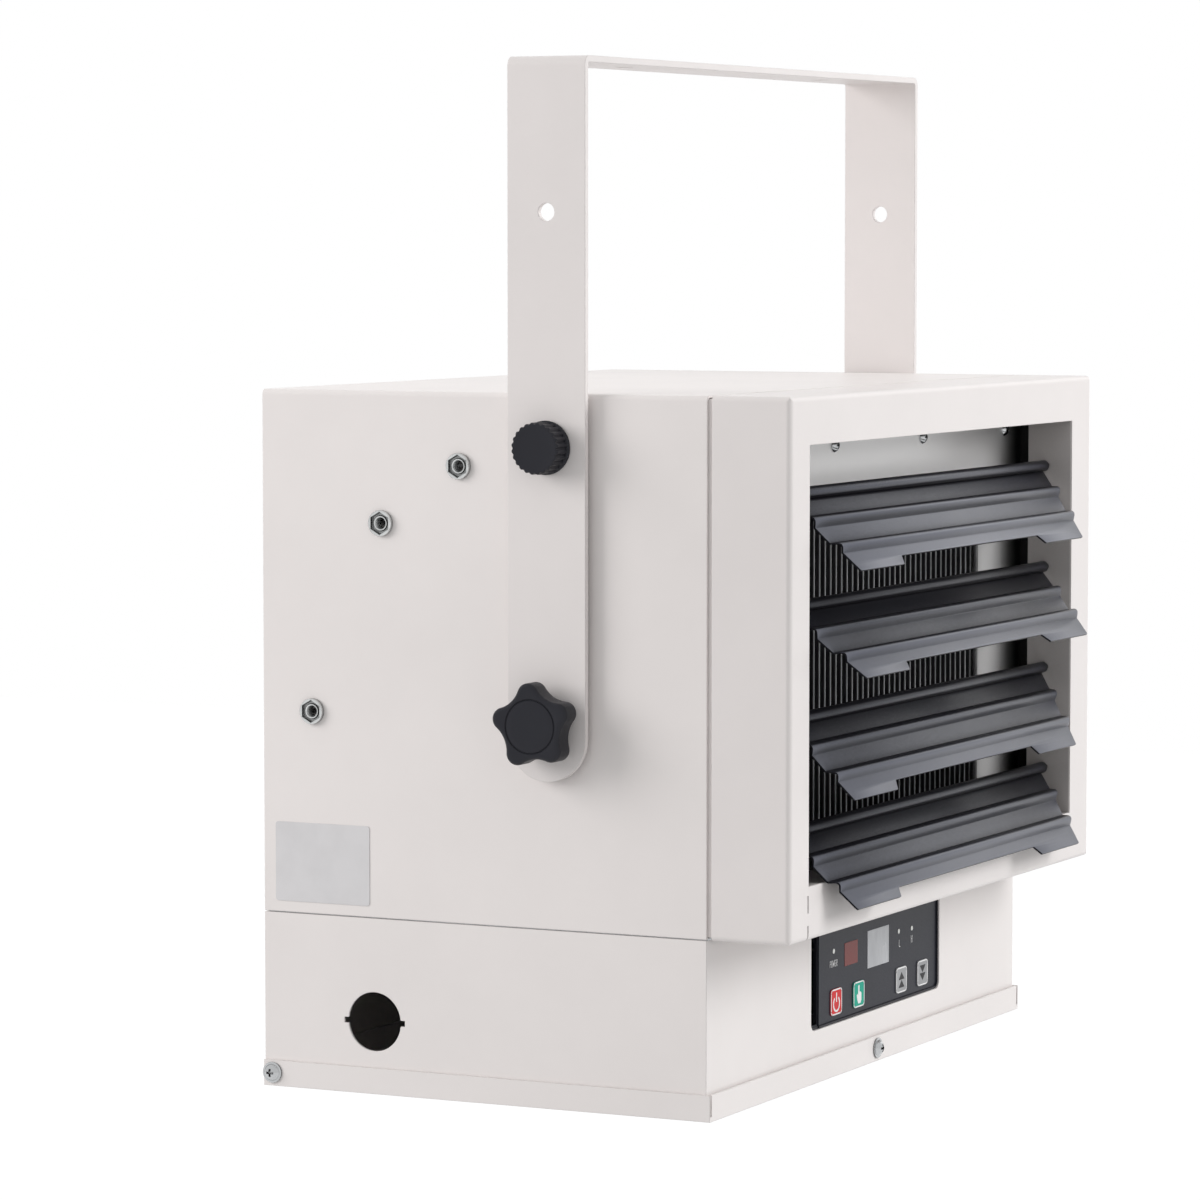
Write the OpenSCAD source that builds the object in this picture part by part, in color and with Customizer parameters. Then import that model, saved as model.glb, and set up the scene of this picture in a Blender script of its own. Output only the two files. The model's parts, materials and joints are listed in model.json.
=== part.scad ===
// Ceiling mounted fan heater: sheet steel casing with a louvred hood, a control
// box underneath and a flat-bar U bracket that lets the heater tilt nose-down.
//
// Millimetres. +Z is up, the air leaves towards -Y, and the origin is the middle
// of the bracket's top face, between the two ceiling bolts.
// The heater's own pieces are drawn in the casing's frame: x = 0 in the middle,
// y = 0 at the seam between casing and hood, z = 0 at the casing's lower edge.

/* [Casing] */
// Outside width of the casing and the hood
casing_w = 380; // [350:1:440]
// Height of the casing above the control box
casing_h = 250; // [244:1:300]
// Depth of the casing from the hood's seam to the rear panel's face
casing_d = 235.7; // [228:0.1:300]
// Thickness of all folded steel sheet
sheet_t = 1.2; // [0.8:0.1:1.6]
// Outside radius of the casing's bends
bend_r = 2.5; // [2:0.1:5]
// Width of the shadow gap between the casing and the hood
seam_w = 2.4; // [1:0.1:4]
// Width of the rear flanges that the rear panel is screwed to
rear_flange = 14; // [10:1:20]
// Gap left between sheet pieces that slide into each other
sheet_gap = 0.3; // [0.2:0.05:0.5]

/* [Hood] */
// Depth of the hood in front of the seam
hood_d = 40.6; // [36:0.1:60]
// Width of the front frame on the left of the louvre opening
border_left = 21; // [14:0.5:34]
// Width of the front frame on the right of the louvre opening
border_right = 26.5; // [14:0.5:34]
// Height of the front frame above the louvre opening
border_top = 22.5; // [14:0.5:30]
// Height of the front frame below the louvre opening
border_bottom = 25; // [14:0.5:30]
// Depth of the flanges that are folded in around the opening
return_d = 24; // [20:0.5:26]
// Depth of the joggled lip on either side of the seam
lip_d = 14; // [8:0.5:18]

/* [Louvres] */
// Length of a louvre blade from its pivot to its lip
blade_chord = 45.6; // [36:0.1:47]
// Thickness of the louvre sheet
blade_t = 0.9; // [0.6:0.1:1.2]
// Outside radius of the rolled hem at the pivot
hem_r = 2.9; // [2.6:0.1:3.6]
// Radius of the pivot rod inside the hem
rod_r = 1.5; // [1.2:0.1:1.8]
// Height of the stiffening beads
bead_h = 3; // [1.2:0.1:3.4]
// Width of the stiffening beads
bead_w = 7.5; // [5:0.1:9]
// Gap between the end of the hem and the flange it is hung in
blade_side_gap = 4; // [2:0.1:8]
// How much each end of a blade draws in for each millimetre of chord
blade_taper = 0.44; // [0:0.01:0.6]
// Width of the tab at each end of the lip
tab_w = 51; // [25:1:60]
// Depth of the cut-back between the tabs
notch_d = 5; // [2:0.5:8]
// Distance from the front face back to the louvre pivots
pivot_back = 13.9; // [12:0.1:16]
// Height from the opening's edges to the first and last pivot
pivot_margin = 23.25; // [20:0.25:26]
// Angle of each blade below level, from the top blade down
blade_tilts = [50, 45, 54.5, 51.5]; // [0:0.5:54.5]

/* [Bracket] */
// Width of the flat bar
strap_w = 40; // [36:1:50]
// Thickness of the flat bar
strap_t = 3; // [2:0.5:5]
// Outside radius of the bar's bends
strap_bend_r = 4.5; // [4:0.5:8]
// Gap between the casing's side and the bar
strap_gap = 3.5; // [3.4:0.1:6]
// Height from the pivot to the bracket's top face
bracket_h = 307.7; // [300:0.1:360]
// Length of the bar below the pivot
strap_tail = 27.1; // [26:0.1:40]
// Distance between the two ceiling bolt holes
ceiling_pitch = 230; // [120:1:300]
// Diameter of the ceiling bolt holes
ceiling_hole_d = 9; // [6:0.5:13]
// Diameter of the spare hole in each side of the bracket
side_hole_d = 8.4; // [6:0.1:12]
// Height of the spare hole above the pivot
side_hole_up = 236.2; // [200:0.1:260]

/* [Tilt pivot and lock] */
// Distance of the tilt pivot behind the seam
pivot_y = 80; // [70:0.5:90]
// Distance from the rear panel's face to the lock hole for nose-down
lock_rear = 27.9; // [22:0.1:34]
// Distance from the casing's top to the lock hole for level
lock_top = 24.9; // [18:0.1:30]
// Tilt angles at which the heater locks
lock_angles = [0, 22.5, 45, 90]; // [0:0.5:90]
// Diameter of the pivot studs
pivot_stud_d = 8; // [6:0.5:10]
// Diameter of the lock studs
lock_stud_d = 5; // [4:0.5:6]
// Diameter of the lock nuts' round flange
lock_nut_d = 12.4; // [11:0.1:15]
// Height that the lock nuts stand proud of the casing
lock_nut_h = 2.4; // [1.6:0.1:2.6]
// Radius of the star knobs at the tips of their lobes
star_r = 20.1; // [17:0.1:24]
// Thickness of the star knobs' grip
star_t = 11.6; // [10:0.1:18]
// Height of the star knobs' hub
star_hub_h = 5.6; // [4:0.1:12]
// Outside diameter of the knurled lock knobs
lock_knob_d = 24.4; // [20:0.2:30]
// Thickness of the knurled lock knobs
lock_knob_t = 12.4; // [9:0.1:16]

/* [Control box] */
// Height of the control box with its cover
box_h = 83.7; // [78:0.1:110]
// Height of the bottom cover's upstanding edges
tray_flange_h = 12.4; // [12:0.1:20]
// Gap between the control box's front and the cover's front edge
tray_front_gap = 1.4; // [0.3:0.1:2.4]
// Width of the control panel's window
panel_w = 160.6; // [150:0.1:170]
// Height from the panel's lower edge to the casing's lower edge
panel_low = 59; // [56:0.5:62]
// Height of the control panel's window
panel_h = 53; // [50:0.5:55]
// Distance of the panel's middle to the right of the casing's middle
panel_x = 9.1; // [-20:0.1:20]
// Depth that the control overlay lies back from the box's front
panel_recess = 1.3; // [1.2:0.1:3]
// Width of the dark gap between the window's left edge and the overlay
panel_gap = 12; // [4:0.5:14]
// Width of a key
key_w = 13.4; // [10:0.1:15]
// Height of a key
key_h = 12.8; // [10:0.1:15]
// Diameter of an indicator lamp
lamp_d = 2.4; // [1.5:0.1:5]
// Diameter of the open cable knockout
knockout_d = 28.2; // [22:0.1:35]
// Distance of the knockout behind the seam
knockout_y = 174.8; // [160:0.5:190]
// Height of the knockout below the casing's lower edge
knockout_z = 49.3; // [44:0.1:50]
// Travel of the control buttons
button_travel = 0.4; // [0.2:0.05:0.6]

/* [Heating element] */
// Number of fins on the element
fin_count = 40; // [20:1:42]
// Distance between fins
fin_pitch = 6.6; // [5.5:0.1:6.6]
// Thickness of a fin
fin_t = 0.6; // [0.4:0.1:1]
// Depth of the fins along the air flow
fin_d = 30; // [20:1:40]
// Height left free between the louvre opening's edges and the fins
element_margin = 23.25; // [16:0.25:30]
// Distance of the element's middle below the middle of the opening
element_drop = 6.25; // [0:0.25:8]
// Diameter of the sheathed heating rods
heater_rod_d = 8; // [6.5:0.5:10]

/* [Fan] */
// Diameter of the fan wheel
fan_dia = 200; // [160:1:206]
// Diameter of the fan wheel's hub
fan_hub_d = 52; // [40:1:60]
// Number of fan blades
fan_blades = 5; // [3:1:7]
// Pitch angle of the fan blades
fan_pitch_angle = 28; // [15:1:35]
// Width of a fan blade
fan_blade_w = 46; // [30:1:48]
// Diameter of the motor
motor_d = 84; // [70:1:96]
// Length of the motor
motor_l = 58; // [40:1:64]
// Distance of the fan shroud's plate behind the seam
shroud_y = 100; // [92:1:104]
// Diameter of the inlet opening in the rear panel
inlet_d = 204; // [180:1:214]
// Thickness of the fan guard's sheet
guard_t = 1.5; // [1:0.1:2]

/* [Power parts] */
// Width of the power board
power_w = 150; // [110:1:160]
// Depth of the power board
power_l = 110; // [100:1:120]
// Width of a relay
relay_w = 28; // [20:1:30]
// Depth of a relay
relay_l = 34; // [20:1:36]
// Height of a relay
relay_h = 26; // [15:1:30]
// Width of the transformer
transformer_w = 46; // [30:1:50]
// Height of the transformer
transformer_h = 34; // [20:1:40]
// Width of the terminal block
terminal_w = 64; // [50:1:70]
// Height of the terminal block
terminal_h = 22; // [16:1:26]

/* [Hidden] */

$fn = 64;
eps = 0.01;
cut = 1;               // how far a cutting shape runs past the face it cuts
fit = 0.05;            // radial clearance of a shaft in its bore
seat = 0.05;           // gap between pieces that seat on each other in one body
touch = 0.3;           // gap between pieces of different bodies at a seat

// Colours
c_white = [0.90, 0.89, 0.87];
c_zinc = [0.80, 0.81, 0.82];
c_steel = [0.72, 0.73, 0.74];
c_louvre = [0.36, 0.37, 0.40];
c_black = [0.12, 0.12, 0.13];
c_overlay = [0.22, 0.23, 0.25];
c_board = [0.10, 0.35, 0.20];

// Casing
half_w = casing_w / 2;
inner_half = half_w - sheet_t;
seam_half = seam_w / 2;
front_edge = seam_half;                       // the casing's front edge
rear_face = casing_d;                         // the rear panel's outer face
rear_flange_face = rear_face - sheet_t;       // the face that the rear panel lies on
shell_bottom = sheet_t / 2;                   // leaves a fine seam above the control box
floor_screw_d = 3.5;

// Hood
hood_front = -hood_d;
open_x0 = -half_w + border_left;
open_x1 = half_w - border_right;
open_w = open_x1 - open_x0;
open_mid = (open_x0 + open_x1) / 2;
open_z0 = border_bottom;
open_z1 = casing_h - border_top;
open_h = open_z1 - open_z0;
lip_half = inner_half - sheet_gap;
lip_z0 = sheet_t + sheet_gap;
lip_z1 = casing_h - sheet_t - sheet_gap;
lip_inner_half = lip_half - sheet_t;
slit_w = 1.2;
slit_len = 7;

// Louvres
louvre_y = hood_front + pivot_back;
louvre_pitch = (open_h - 2 * pivot_margin) / 3;
function louvre_z(k) = open_z1 - pivot_margin - k * louvre_pitch;
blade_w0 = -(hem_r - blade_t / 2 - 0.15);     // the sheet runs off the foot of the hem
valley_w = -1.75;                             // level of the sheet in front of each bead
step_w1 = -1.55;                              // level of the sheet behind the first bead
step_w2 = -0.55;                              // level of the sheet behind the second bead
tip_w = -0.4;                                 // level of the sheet at the lip
bead_u1 = blade_chord * 0.34;
bead_u2 = blade_chord * 0.688;
bead_steps = 10;
rod_end = 2.5;

// Bracket
strap_x0 = half_w + strap_gap;
strap_x1 = strap_x0 + strap_t;
bar_under = -strap_t;
spare_hole_z = -bracket_h + side_hole_up;
lock_r = casing_d - pivot_y - lock_rear;      // radius of the circle that the lock holes lie on
pivot_z = casing_h - lock_top - lock_r;       // height of the pivot above the casing's lower edge
lock_hole_z = -bracket_h + lock_r;
heater_origin = [0, -pivot_y, -(bracket_h + pivot_z)];

// Pivot and lock
pivot_nut_d = pivot_stud_d * 2;
pivot_nut_h = lock_nut_h;
nut_barrel_l = 10;
nut_wall = 1.7;
nut_hex = 9;
nut_ring_d = 7.2;
washer_d = pivot_stud_d * 2.6;
washer_t = strap_gap - pivot_nut_h - 2 * seat;
knob_x0 = strap_x1 + touch;
star_face = knob_x0 + star_hub_h + star_t;
stud_in_knob = 8;

// Control box
box_front = front_edge;
box_rear = rear_flange_face;
box_bottom = -box_h + sheet_t;
tray_gap = sheet_gap;
tray_front = box_front - tray_front_gap - sheet_t;
tray_back = box_rear - sheet_t - tray_gap;       // outer face of the edge folded up inside the box's rear
tray_half = half_w + tray_gap + sheet_t;
tray_screw_z = -box_h + tray_flange_h / 2 + 0.3;
tray_screw_front_x = 3.5;
tray_screw_side_y = rear_face - 6;
box_flange = 12;

// Control panel, in the box's frame; x and z count from the window's lower left corner
panel_x0 = panel_x - panel_w / 2;
panel_z0 = -panel_low;
overlay_t = 0.6;
overlay_edge = 0.9;                           // left between the overlay and the housing's rim
panel_face = box_front + panel_recess + overlay_t;
housing_t = 2;
window_r = 4;
key_z = panel_z0 + 10.3;
key_xs = [32.25, 59.85, 113.45, 140.75];
key_cap_t = 0.6;
key_stem_l = 5;
board_y = panel_face + housing_t + 8;
board_t = 1.6;
key_gap = 0.1;                                // left between a pressed key and what stops it
switch_h = board_y - seat - (panel_face + key_stem_l + button_travel + key_gap);
switch_w = key_w * 0.42;
notch_w = 2.8;                                // the knockout's two side notches
notch_out = 2.2;

// Element
element_y0 = 1;
fins_w = (fin_count - 1) * fin_pitch + fin_t;
fin_h = open_h - 2 * element_margin;
element_z = (open_z0 + open_z1) / 2 - element_drop;
rod_leg_pitch = fin_h / 6;
rod_pitch = fin_h * 0.32;
fin_z0 = element_z - fin_h / 2;
frame_half = fins_w / 2 + 3;
frame_z0 = fin_z0 - 1;
frame_z1 = fin_z0 + fin_h + 1;
partition_y0 = -2;
reflector_t = 0.8;
reflector_y0 = partition_y0 - reflector_t - seat;
reflector_screw_pitch = 109.5;
reflector_screw_z1 = open_z1 - 5;
reflector_screw_z0 = open_z0 - 8;
rod_y = element_y0 + fin_d / 2;
rod_ends_x = frame_half + 18;
rod_bend_x = -(frame_half + 6);

// Fan
fan_z = casing_h / 2;
shroud_r = fan_dia / 2 + 3;
shroud_ring_d = 30;
fan_y0 = shroud_y + 4;
fan_hub_l = 24;
strut_w = 40;
strut_t = 2;
strut_y = shroud_y + shroud_ring_d + 10;
strut_leg_z = shroud_r + 8;
motor_y0 = strut_y + strut_t;
shaft_d = 8;
guard_hub_r = 26;
guard_outer_r = inlet_d / 2 + 2;
guard_rings = 7;
guard_bar_w = 3;
rear_screw_up = inlet_d / 2 + 1;              // the panel's outer screws lie level with the inlet's ends

// Power parts, measured from the walls they stand near
board_stand = 8;
power_x0 = half_w - 60 - power_w;
power_y0 = box_front + 58.8;
power_top = -board_stand - board_t - seat;    // underside of the power board
relay_pitch = relay_w + 6;
relay_x0 = power_x0 + 20;
relay_y0 = power_y0 + 10;
transformer_x0 = relay_x0 + 30;
transformer_y0 = power_y0 + power_l - transformer_h - 14;
terminal_x0 = -half_w + 40;
terminal_y0 = knockout_y - 24.8;
terminal_l = 26;
earth_x = -half_w + 90;
earth_y = power_y0;
earth_d = 4;

// --- Helpers -------------------------------------------------------------

// Rectangle with all four corners rounded
module round_rect(w, h, r) {
  translate([-w / 2 + r, -h / 2]) square([w - 2 * r, h]);
  translate([-w / 2, -h / 2 + r]) square([w, h - 2 * r]);
  for (sx = [-1, 1], sy = [-1, 1]) translate([sx * (w / 2 - r), sy * (h / 2 - r)]) circle(r);
}

// Rectangle from (0, 0) whose two corners at its far end in y are rounded
module round_end_rect(w, h, r) {
  translate([-w / 2, 0]) square([w, h - r]);
  translate([-w / 2 + r, 0]) square([w - 2 * r, h]);
  for (sx = [-1, 1]) translate([sx * (w / 2 - r), h - r]) circle(r);
}

// Places a child drawn in the casing's frame
module in_heater() {
  translate(heater_origin) children();
}

// Turns a child so that its +Z points out of the casing's side (-1 left, 1 right)
module out_of_side(side, x, y, z) {
  translate([side * x, y, z]) rotate([0, side * 90, 0]) children();
}

// Turns a child so that its +Z points forwards, out of the heater's front
module facing_front(x, y, z) {
  translate([x, y, z]) rotate([90, 0, 0]) children();
}

// Turns a child so that its +Z points out of the heater's rear
module facing_rear(x, y, z) {
  translate([x, y, z]) rotate([-90, 0, 0]) children();
}

// Extrudes a profile drawn in X and Z from y0 back to y1
module along_y(y0, y1) {
  translate([0, y1, 0]) rotate([90, 0, 0]) linear_extrude(y1 - y0) children();
}

// A cross-headed pan screw with its head's seat at z = 0
module pan_screw(d, head_d, head_h, shank) {
  dome_r = (head_d * head_d / 4 + head_h * head_h) / (2 * head_h);
  slot_w = head_d * 0.14;
  difference() {
    union() {
      intersection() {
        cylinder(d = head_d, h = head_h);
        translate([0, 0, head_h - dome_r]) sphere(dome_r);
      }
      translate([0, 0, -shank]) cylinder(d = d, h = shank + eps);
    }
    for (a = [0, 90]) rotate([0, 0, a])
      translate([-head_d * 0.24, -slot_w / 2, head_h * 0.45]) cube([head_d * 0.48, slot_w, head_h]);
  }
}

// --- Bracket -------------------------------------------------------------

module strap_side_profile() {
  tail_r = strap_w / 2;
  translate([-strap_w / 2, -bracket_h - strap_tail + tail_r])
    square([strap_w, bracket_h + strap_tail - tail_r - strap_bend_r]);
  translate([0, -bracket_h - strap_tail + tail_r]) circle(tail_r);
}

module mounting_bracket() {
  inner_r = strap_bend_r - strap_t > 0 ? strap_bend_r - strap_t : 0.5;
  color(c_white) difference() {
    union() {
      translate([-strap_x1 + strap_bend_r, -strap_w / 2, -strap_t])
        cube([2 * (strap_x1 - strap_bend_r), strap_w, strap_t]);
      for (side = [-1, 1]) {
        translate([side * (strap_x0 + strap_t / 2), 0, 0]) rotate([90, 0, 90])
          linear_extrude(strap_t, center = true) strap_side_profile();
        translate([side * (strap_x1 - strap_bend_r), 0, -strap_bend_r]) difference() {
          rotate([90, 0, 0]) cylinder(r = strap_bend_r, h = strap_w, center = true);
          rotate([90, 0, 0]) cylinder(r = inner_r, h = strap_w + cut, center = true);
          translate([-side * strap_bend_r, 0, 0])
            cube([2 * strap_bend_r, strap_w + cut, 3 * strap_bend_r], center = true);
          translate([0, 0, -strap_bend_r])
            cube([3 * strap_bend_r, strap_w + cut, 2 * strap_bend_r], center = true);
        }
      }
    }
    for (sx = [-1, 1])
      translate([sx * ceiling_pitch / 2, 0, -strap_t - cut]) cylinder(d = ceiling_hole_d, h = strap_t + 2 * cut);
    for (side = [-1, 1]) {
      out_of_side(side, strap_x0 - cut, 0, -bracket_h) cylinder(d = pivot_stud_d + 2 * fit, h = strap_t + 2 * cut);
      out_of_side(side, strap_x0 - cut, 0, lock_hole_z) cylinder(d = lock_stud_d + 2 * fit, h = strap_t + 2 * cut);
      out_of_side(side, strap_x0 - cut, 0, spare_hole_z) cylinder(d = side_hole_d, h = strap_t + 2 * cut);
    }
  }
}

// Five-lobed outline of the star knob's grip
module star_outline() {
  lobe_r = star_r * 0.28;
  valley_r = star_r * 0.62;
  core_r = star_r * 0.86;
  difference() {
    union() {
      circle(core_r);
      for (i = [0:4]) rotate(i * 72) translate([star_r - lobe_r, 0]) circle(lobe_r);
      for (i = [0:4]) rotate(i * 72) translate([0, -lobe_r * 0.97]) square([star_r - lobe_r, lobe_r * 1.94]);
    }
    for (i = [0:4]) rotate(i * 72 + 36) translate([star_r * 1.36, 0]) circle(valley_r);
  }
}

// The star knob along +Z, with its hub's seat at z = 0
module star_knob() {
  inlay_r = star_r * 0.63;
  lobe_turn = 6.5;
  color(c_black) difference() {
    union() {
      cylinder(r = star_r * 0.5, h = star_hub_h + eps);
      translate([0, 0, star_hub_h]) rotate(lobe_turn) linear_extrude(star_t) star_outline();
    }
    translate([0, 0, star_hub_h + star_t - 0.6]) difference() {
      cylinder(r = inlay_r + 0.3, h = 1);
      translate([0, 0, -cut]) cylinder(r = inlay_r - 0.3, h = 3);
    }
    translate([0, 0, -cut]) cylinder(d = pivot_stud_d + 2 * fit, h = stud_in_knob + cut + seat);
  }
}

module star_knob_left() {
  out_of_side(-1, knob_x0, 0, -bracket_h) star_knob();
}

module star_knob_right() {
  out_of_side(1, knob_x0, 0, -bracket_h) star_knob();
}

// The pivot stud along +Z, from inside the casing into the knob
module pivot_stud() {
  stud_in = nut_barrel_l + pivot_nut_h;
  color(c_zinc) translate([0, 0, -stud_in]) cylinder(d = pivot_stud_d, h = stud_in + knob_x0 - half_w - pivot_nut_h + stud_in_knob);
}

module pivot_stud_left() {
  out_of_side(-1, half_w + pivot_nut_h, 0, -bracket_h) pivot_stud();
}

module pivot_stud_right() {
  out_of_side(1, half_w + pivot_nut_h, 0, -bracket_h) pivot_stud();
}

// The knurled lock knob along +Z, with its seat at z = 0
module lock_knob() {
  scallops = 24;
  rim_t = 1.6;
  color(c_black) difference() {
    union() {
      cylinder(d = lock_knob_d + 1.2, h = rim_t);
      difference() {
        cylinder(d = lock_knob_d, h = lock_knob_t);
        for (i = [0:scallops - 1]) rotate(i * 360 / scallops)
          translate([lock_knob_d / 2 + 0.5, 0, rim_t]) cylinder(r = 1.2, h = lock_knob_t, $fn = 16);
      }
    }
    translate([0, 0, -cut]) cylinder(d = lock_stud_d + 2 * fit, h = stud_in_knob + cut + seat);
  }
}

module lock_knob_left() {
  out_of_side(-1, knob_x0, 0, lock_hole_z) lock_knob();
}

module lock_knob_right() {
  out_of_side(1, knob_x0, 0, lock_hole_z) lock_knob();
}

// The lock stud along +Z, from just outside the lock nut into the knob
module lock_stud() {
  color(c_zinc) cylinder(d = lock_stud_d, h = knob_x0 + stud_in_knob - (half_w + lock_nut_h + touch));
}

module lock_stud_left() {
  out_of_side(-1, half_w + lock_nut_h + touch, 0, lock_hole_z) lock_stud();
}

module lock_stud_right() {
  out_of_side(1, half_w + lock_nut_h + touch, 0, lock_hole_z) lock_stud();
}

// --- Casing --------------------------------------------------------------

function lock_y(a) = pivot_y + lock_r * sin(a);
function lock_z(a) = pivot_z + lock_r * cos(a);

module casing_shell() {
  color(c_white) in_heater() difference() {
    along_y(front_edge, rear_flange_face) translate([0, shell_bottom])
      round_end_rect(casing_w, casing_h - shell_bottom, bend_r);
    along_y(front_edge - cut, rear_flange_face - sheet_t) translate([0, -cut])
      round_end_rect(2 * inner_half, casing_h - sheet_t + cut, bend_r - sheet_t);
    along_y(rear_flange_face - sheet_t - cut, rear_flange_face + cut) translate([0, -cut])
      round_end_rect(2 * (inner_half - rear_flange), casing_h - sheet_t - rear_flange + cut, bend_r);
    for (side = [-1, 1]) {
      out_of_side(side, half_w - sheet_t - cut, pivot_y, pivot_z)
        cylinder(d = pivot_stud_d + 2 * nut_wall + 2 * fit, h = sheet_t + 2 * cut);
      for (a = lock_angles)
        out_of_side(side, half_w - sheet_t - cut, lock_y(a), lock_z(a))
          cylinder(d = lock_stud_d + 2 * nut_wall + 2 * fit, h = sheet_t + 2 * cut);
    }
    rear_screw_places() translate([0, 0, -sheet_t - cut]) cylinder(d = 3.6, h = sheet_t + 2 * cut);
  }
}

// Places a child at each rear panel screw, on the face of the casing's flanges
module rear_screw_places() {
  sx = inner_half - rear_flange / 2;
  for (side = [-1, 1], row = [-1:1]) facing_rear(side * sx, rear_flange_face, fan_z + row * rear_screw_up) children();
}

module casing_floor() {
  edge = inner_half - sheet_gap;
  y0 = lip_d + seam_half + 1;
  y1 = rear_flange_face - sheet_t - sheet_gap;
  up = 12;
  grommet_d = 22;
  color(c_zinc) in_heater() difference() {
    union() {
      translate([-edge, front_edge, 0]) cube([2 * edge, y1 - front_edge, sheet_t]);
      for (side = [-1, 1])
        translate([side * (edge - sheet_t / 2) - sheet_t / 2, y0, 0]) cube([sheet_t, y1 - y0, up]);
    }
    translate([half_w - 60, shroud_y - 30, -cut]) cylinder(d = grommet_d, h = sheet_t + 2 * cut);
    translate([earth_x, earth_y, -cut]) cylinder(d = earth_d + 2 * fit, h = sheet_t + 2 * cut);
    floor_screw_places() translate([0, 0, -cut]) cylinder(d = floor_screw_d, h = sheet_t + 2 * cut);
  }
}

// Places a child at each screw hole between the control box and the casing floor
module floor_screw_places() {
  for (side = [-1, 1], y = [box_front + 30, box_rear - 30])
    translate([side * (inner_half - box_flange / 2), y, 0]) children();
}

module rear_panel() {
  w = 2 * (inner_half - 1);
  h = casing_h - sheet_t - 3;
  color(c_white) in_heater() difference() {
    along_y(rear_flange_face, rear_face) translate([0, casing_h / 2 + 1]) round_rect(w, h, 3);
    facing_rear(0, rear_flange_face - cut, fan_z) cylinder(d = inlet_d, h = sheet_t + 2 * cut, $fn = 128);
    rear_screw_places() translate([0, 0, -cut]) cylinder(d = 3.6, h = sheet_t + 2 * cut);
    guard_screw_places() translate([0, 0, -sheet_t - cut]) cylinder(d = 3.6, h = sheet_t + 2 * cut);
  }
}

// Places a child at each guard screw, on the rear panel's outer face
module guard_screw_places() {
  for (a = [45:90:315])
    facing_rear((guard_outer_r + 5) * cos(a), rear_face, fan_z + (guard_outer_r + 5) * sin(a)) children();
}

module rear_panel_screws() {
  color(c_zinc) in_heater() {
    rear_screw_places() translate([0, 0, sheet_t + seat]) pan_screw(3.5, 7, 2.2, 8);
    guard_screw_places() translate([0, 0, guard_t + 2 * seat]) pan_screw(3.5, 7, 2.2, 6);
  }
}

// Fan guard pressed from one sheet: a hub disc, concentric rings and radial arms
module fan_guard() {
  ring_step = (guard_outer_r - guard_hub_r) / guard_rings;
  arm_w = 8;
  color(c_zinc) in_heater() facing_rear(0, rear_face + seat, fan_z) difference() {
    union() {
      cylinder(r = guard_hub_r, h = guard_t);
      for (i = [1:guard_rings]) difference() {
        cylinder(r = guard_hub_r + i * ring_step + guard_bar_w / 2, h = guard_t);
        translate([0, 0, -cut]) cylinder(r = guard_hub_r + i * ring_step - guard_bar_w / 2, h = guard_t + 2 * cut);
      }
      for (a = [45:90:315]) rotate(a) {
        translate([0, -arm_w / 2, 0]) cube([guard_outer_r + 5, arm_w, guard_t]);
        translate([guard_outer_r + 5, 0, 0]) cylinder(d = 11, h = guard_t);
      }
    }
    for (a = [45:90:315]) rotate(a) translate([guard_outer_r + 5, 0, -cut]) cylinder(d = 3.6, h = guard_t + 2 * cut);
  }
}

// --- Hood and louvres ----------------------------------------------------

// The hood's outer form, with its front edges rounded
module hood_form() {
  depth = hood_d - seam_half;
  intersection() {
    along_y(hood_front, -seam_half) translate([0, casing_h / 2]) round_rect(casing_w, casing_h, bend_r);
    translate([0, -seam_half, -cut]) mirror([0, 1, 0]) linear_extrude(casing_h + 2 * cut)
      round_end_rect(casing_w, depth, bend_r);
    translate([-half_w - cut, -seam_half, casing_h / 2]) rotate([90, 0, 90]) linear_extrude(casing_w + 2 * cut)
      rotate(90) round_end_rect(casing_h, depth, bend_r);
  }
}

module front_hood() {
  wall = sheet_t;
  color(c_white) in_heater() difference() {
    union() {
      difference() {
        hood_form();
        translate([-inner_half, hood_front + wall, wall]) cube([2 * inner_half, hood_d, casing_h - 2 * wall]);
      }
      // flanges folded in around the louvre opening
      translate([open_x0 - wall, hood_front + wall / 2, open_z0 - wall])
        cube([open_w + 2 * wall, return_d - wall / 2, open_h + 2 * wall]);
      // joggled lip, fast to the hood in front of the seam and loose in the casing behind it
      along_y(-seam_half - lip_d, -seam_half + eps) translate([0, casing_h / 2])
        square([2 * inner_half, casing_h - 2 * wall], center = true);
      along_y(-seam_half, seam_half + lip_d) translate([-lip_half, lip_z0]) square([2 * lip_half, lip_z1 - lip_z0]);
    }
    along_y(-seam_half - lip_d - cut, seam_half + lip_d + cut) translate([-lip_inner_half, lip_z0 + wall])
      square([2 * lip_inner_half, lip_z1 - lip_z0 - 2 * wall]);
    translate([open_x0, hood_front - cut, open_z0]) cube([open_w, return_d + 2 * cut, open_h]);
    for (k = [0:3], side = [-1, 1])
      translate([open_mid + side * open_w / 2, louvre_y, louvre_z(k)]) rotate([0, 90, 0])
        cylinder(r = rod_r + fit, h = 2 * wall + 2 * cut, center = true);
    // butt joint of the bottom rail, closed between its two ends
    for (z = [open_z0 - cut - slit_len * 1.6, -cut])
      translate([open_x0 - slit_w, hood_front - cut, z]) cube([slit_w, wall + cut, slit_len + cut]);
  }
}

// Height of the stiffening bead centred at c
function bead(u, c) = abs(u - c) < bead_w / 2 ? bead_h * pow(cos(180 * (u - c) / bead_w), 2) : 0;

// Height of the blade's middle line at distance u from the pivot
function blade_line(u) = bead(u, bead_u1) + bead(u, bead_u2) + lookup(u, [
  [0, blade_w0], [bead_u1 - bead_w / 2, valley_w], [bead_u1 + bead_w / 2, step_w1],
  [bead_u2 - bead_w / 2, valley_w], [bead_u2 + bead_w / 2, step_w2], [blade_chord, tip_w]
]);

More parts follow.
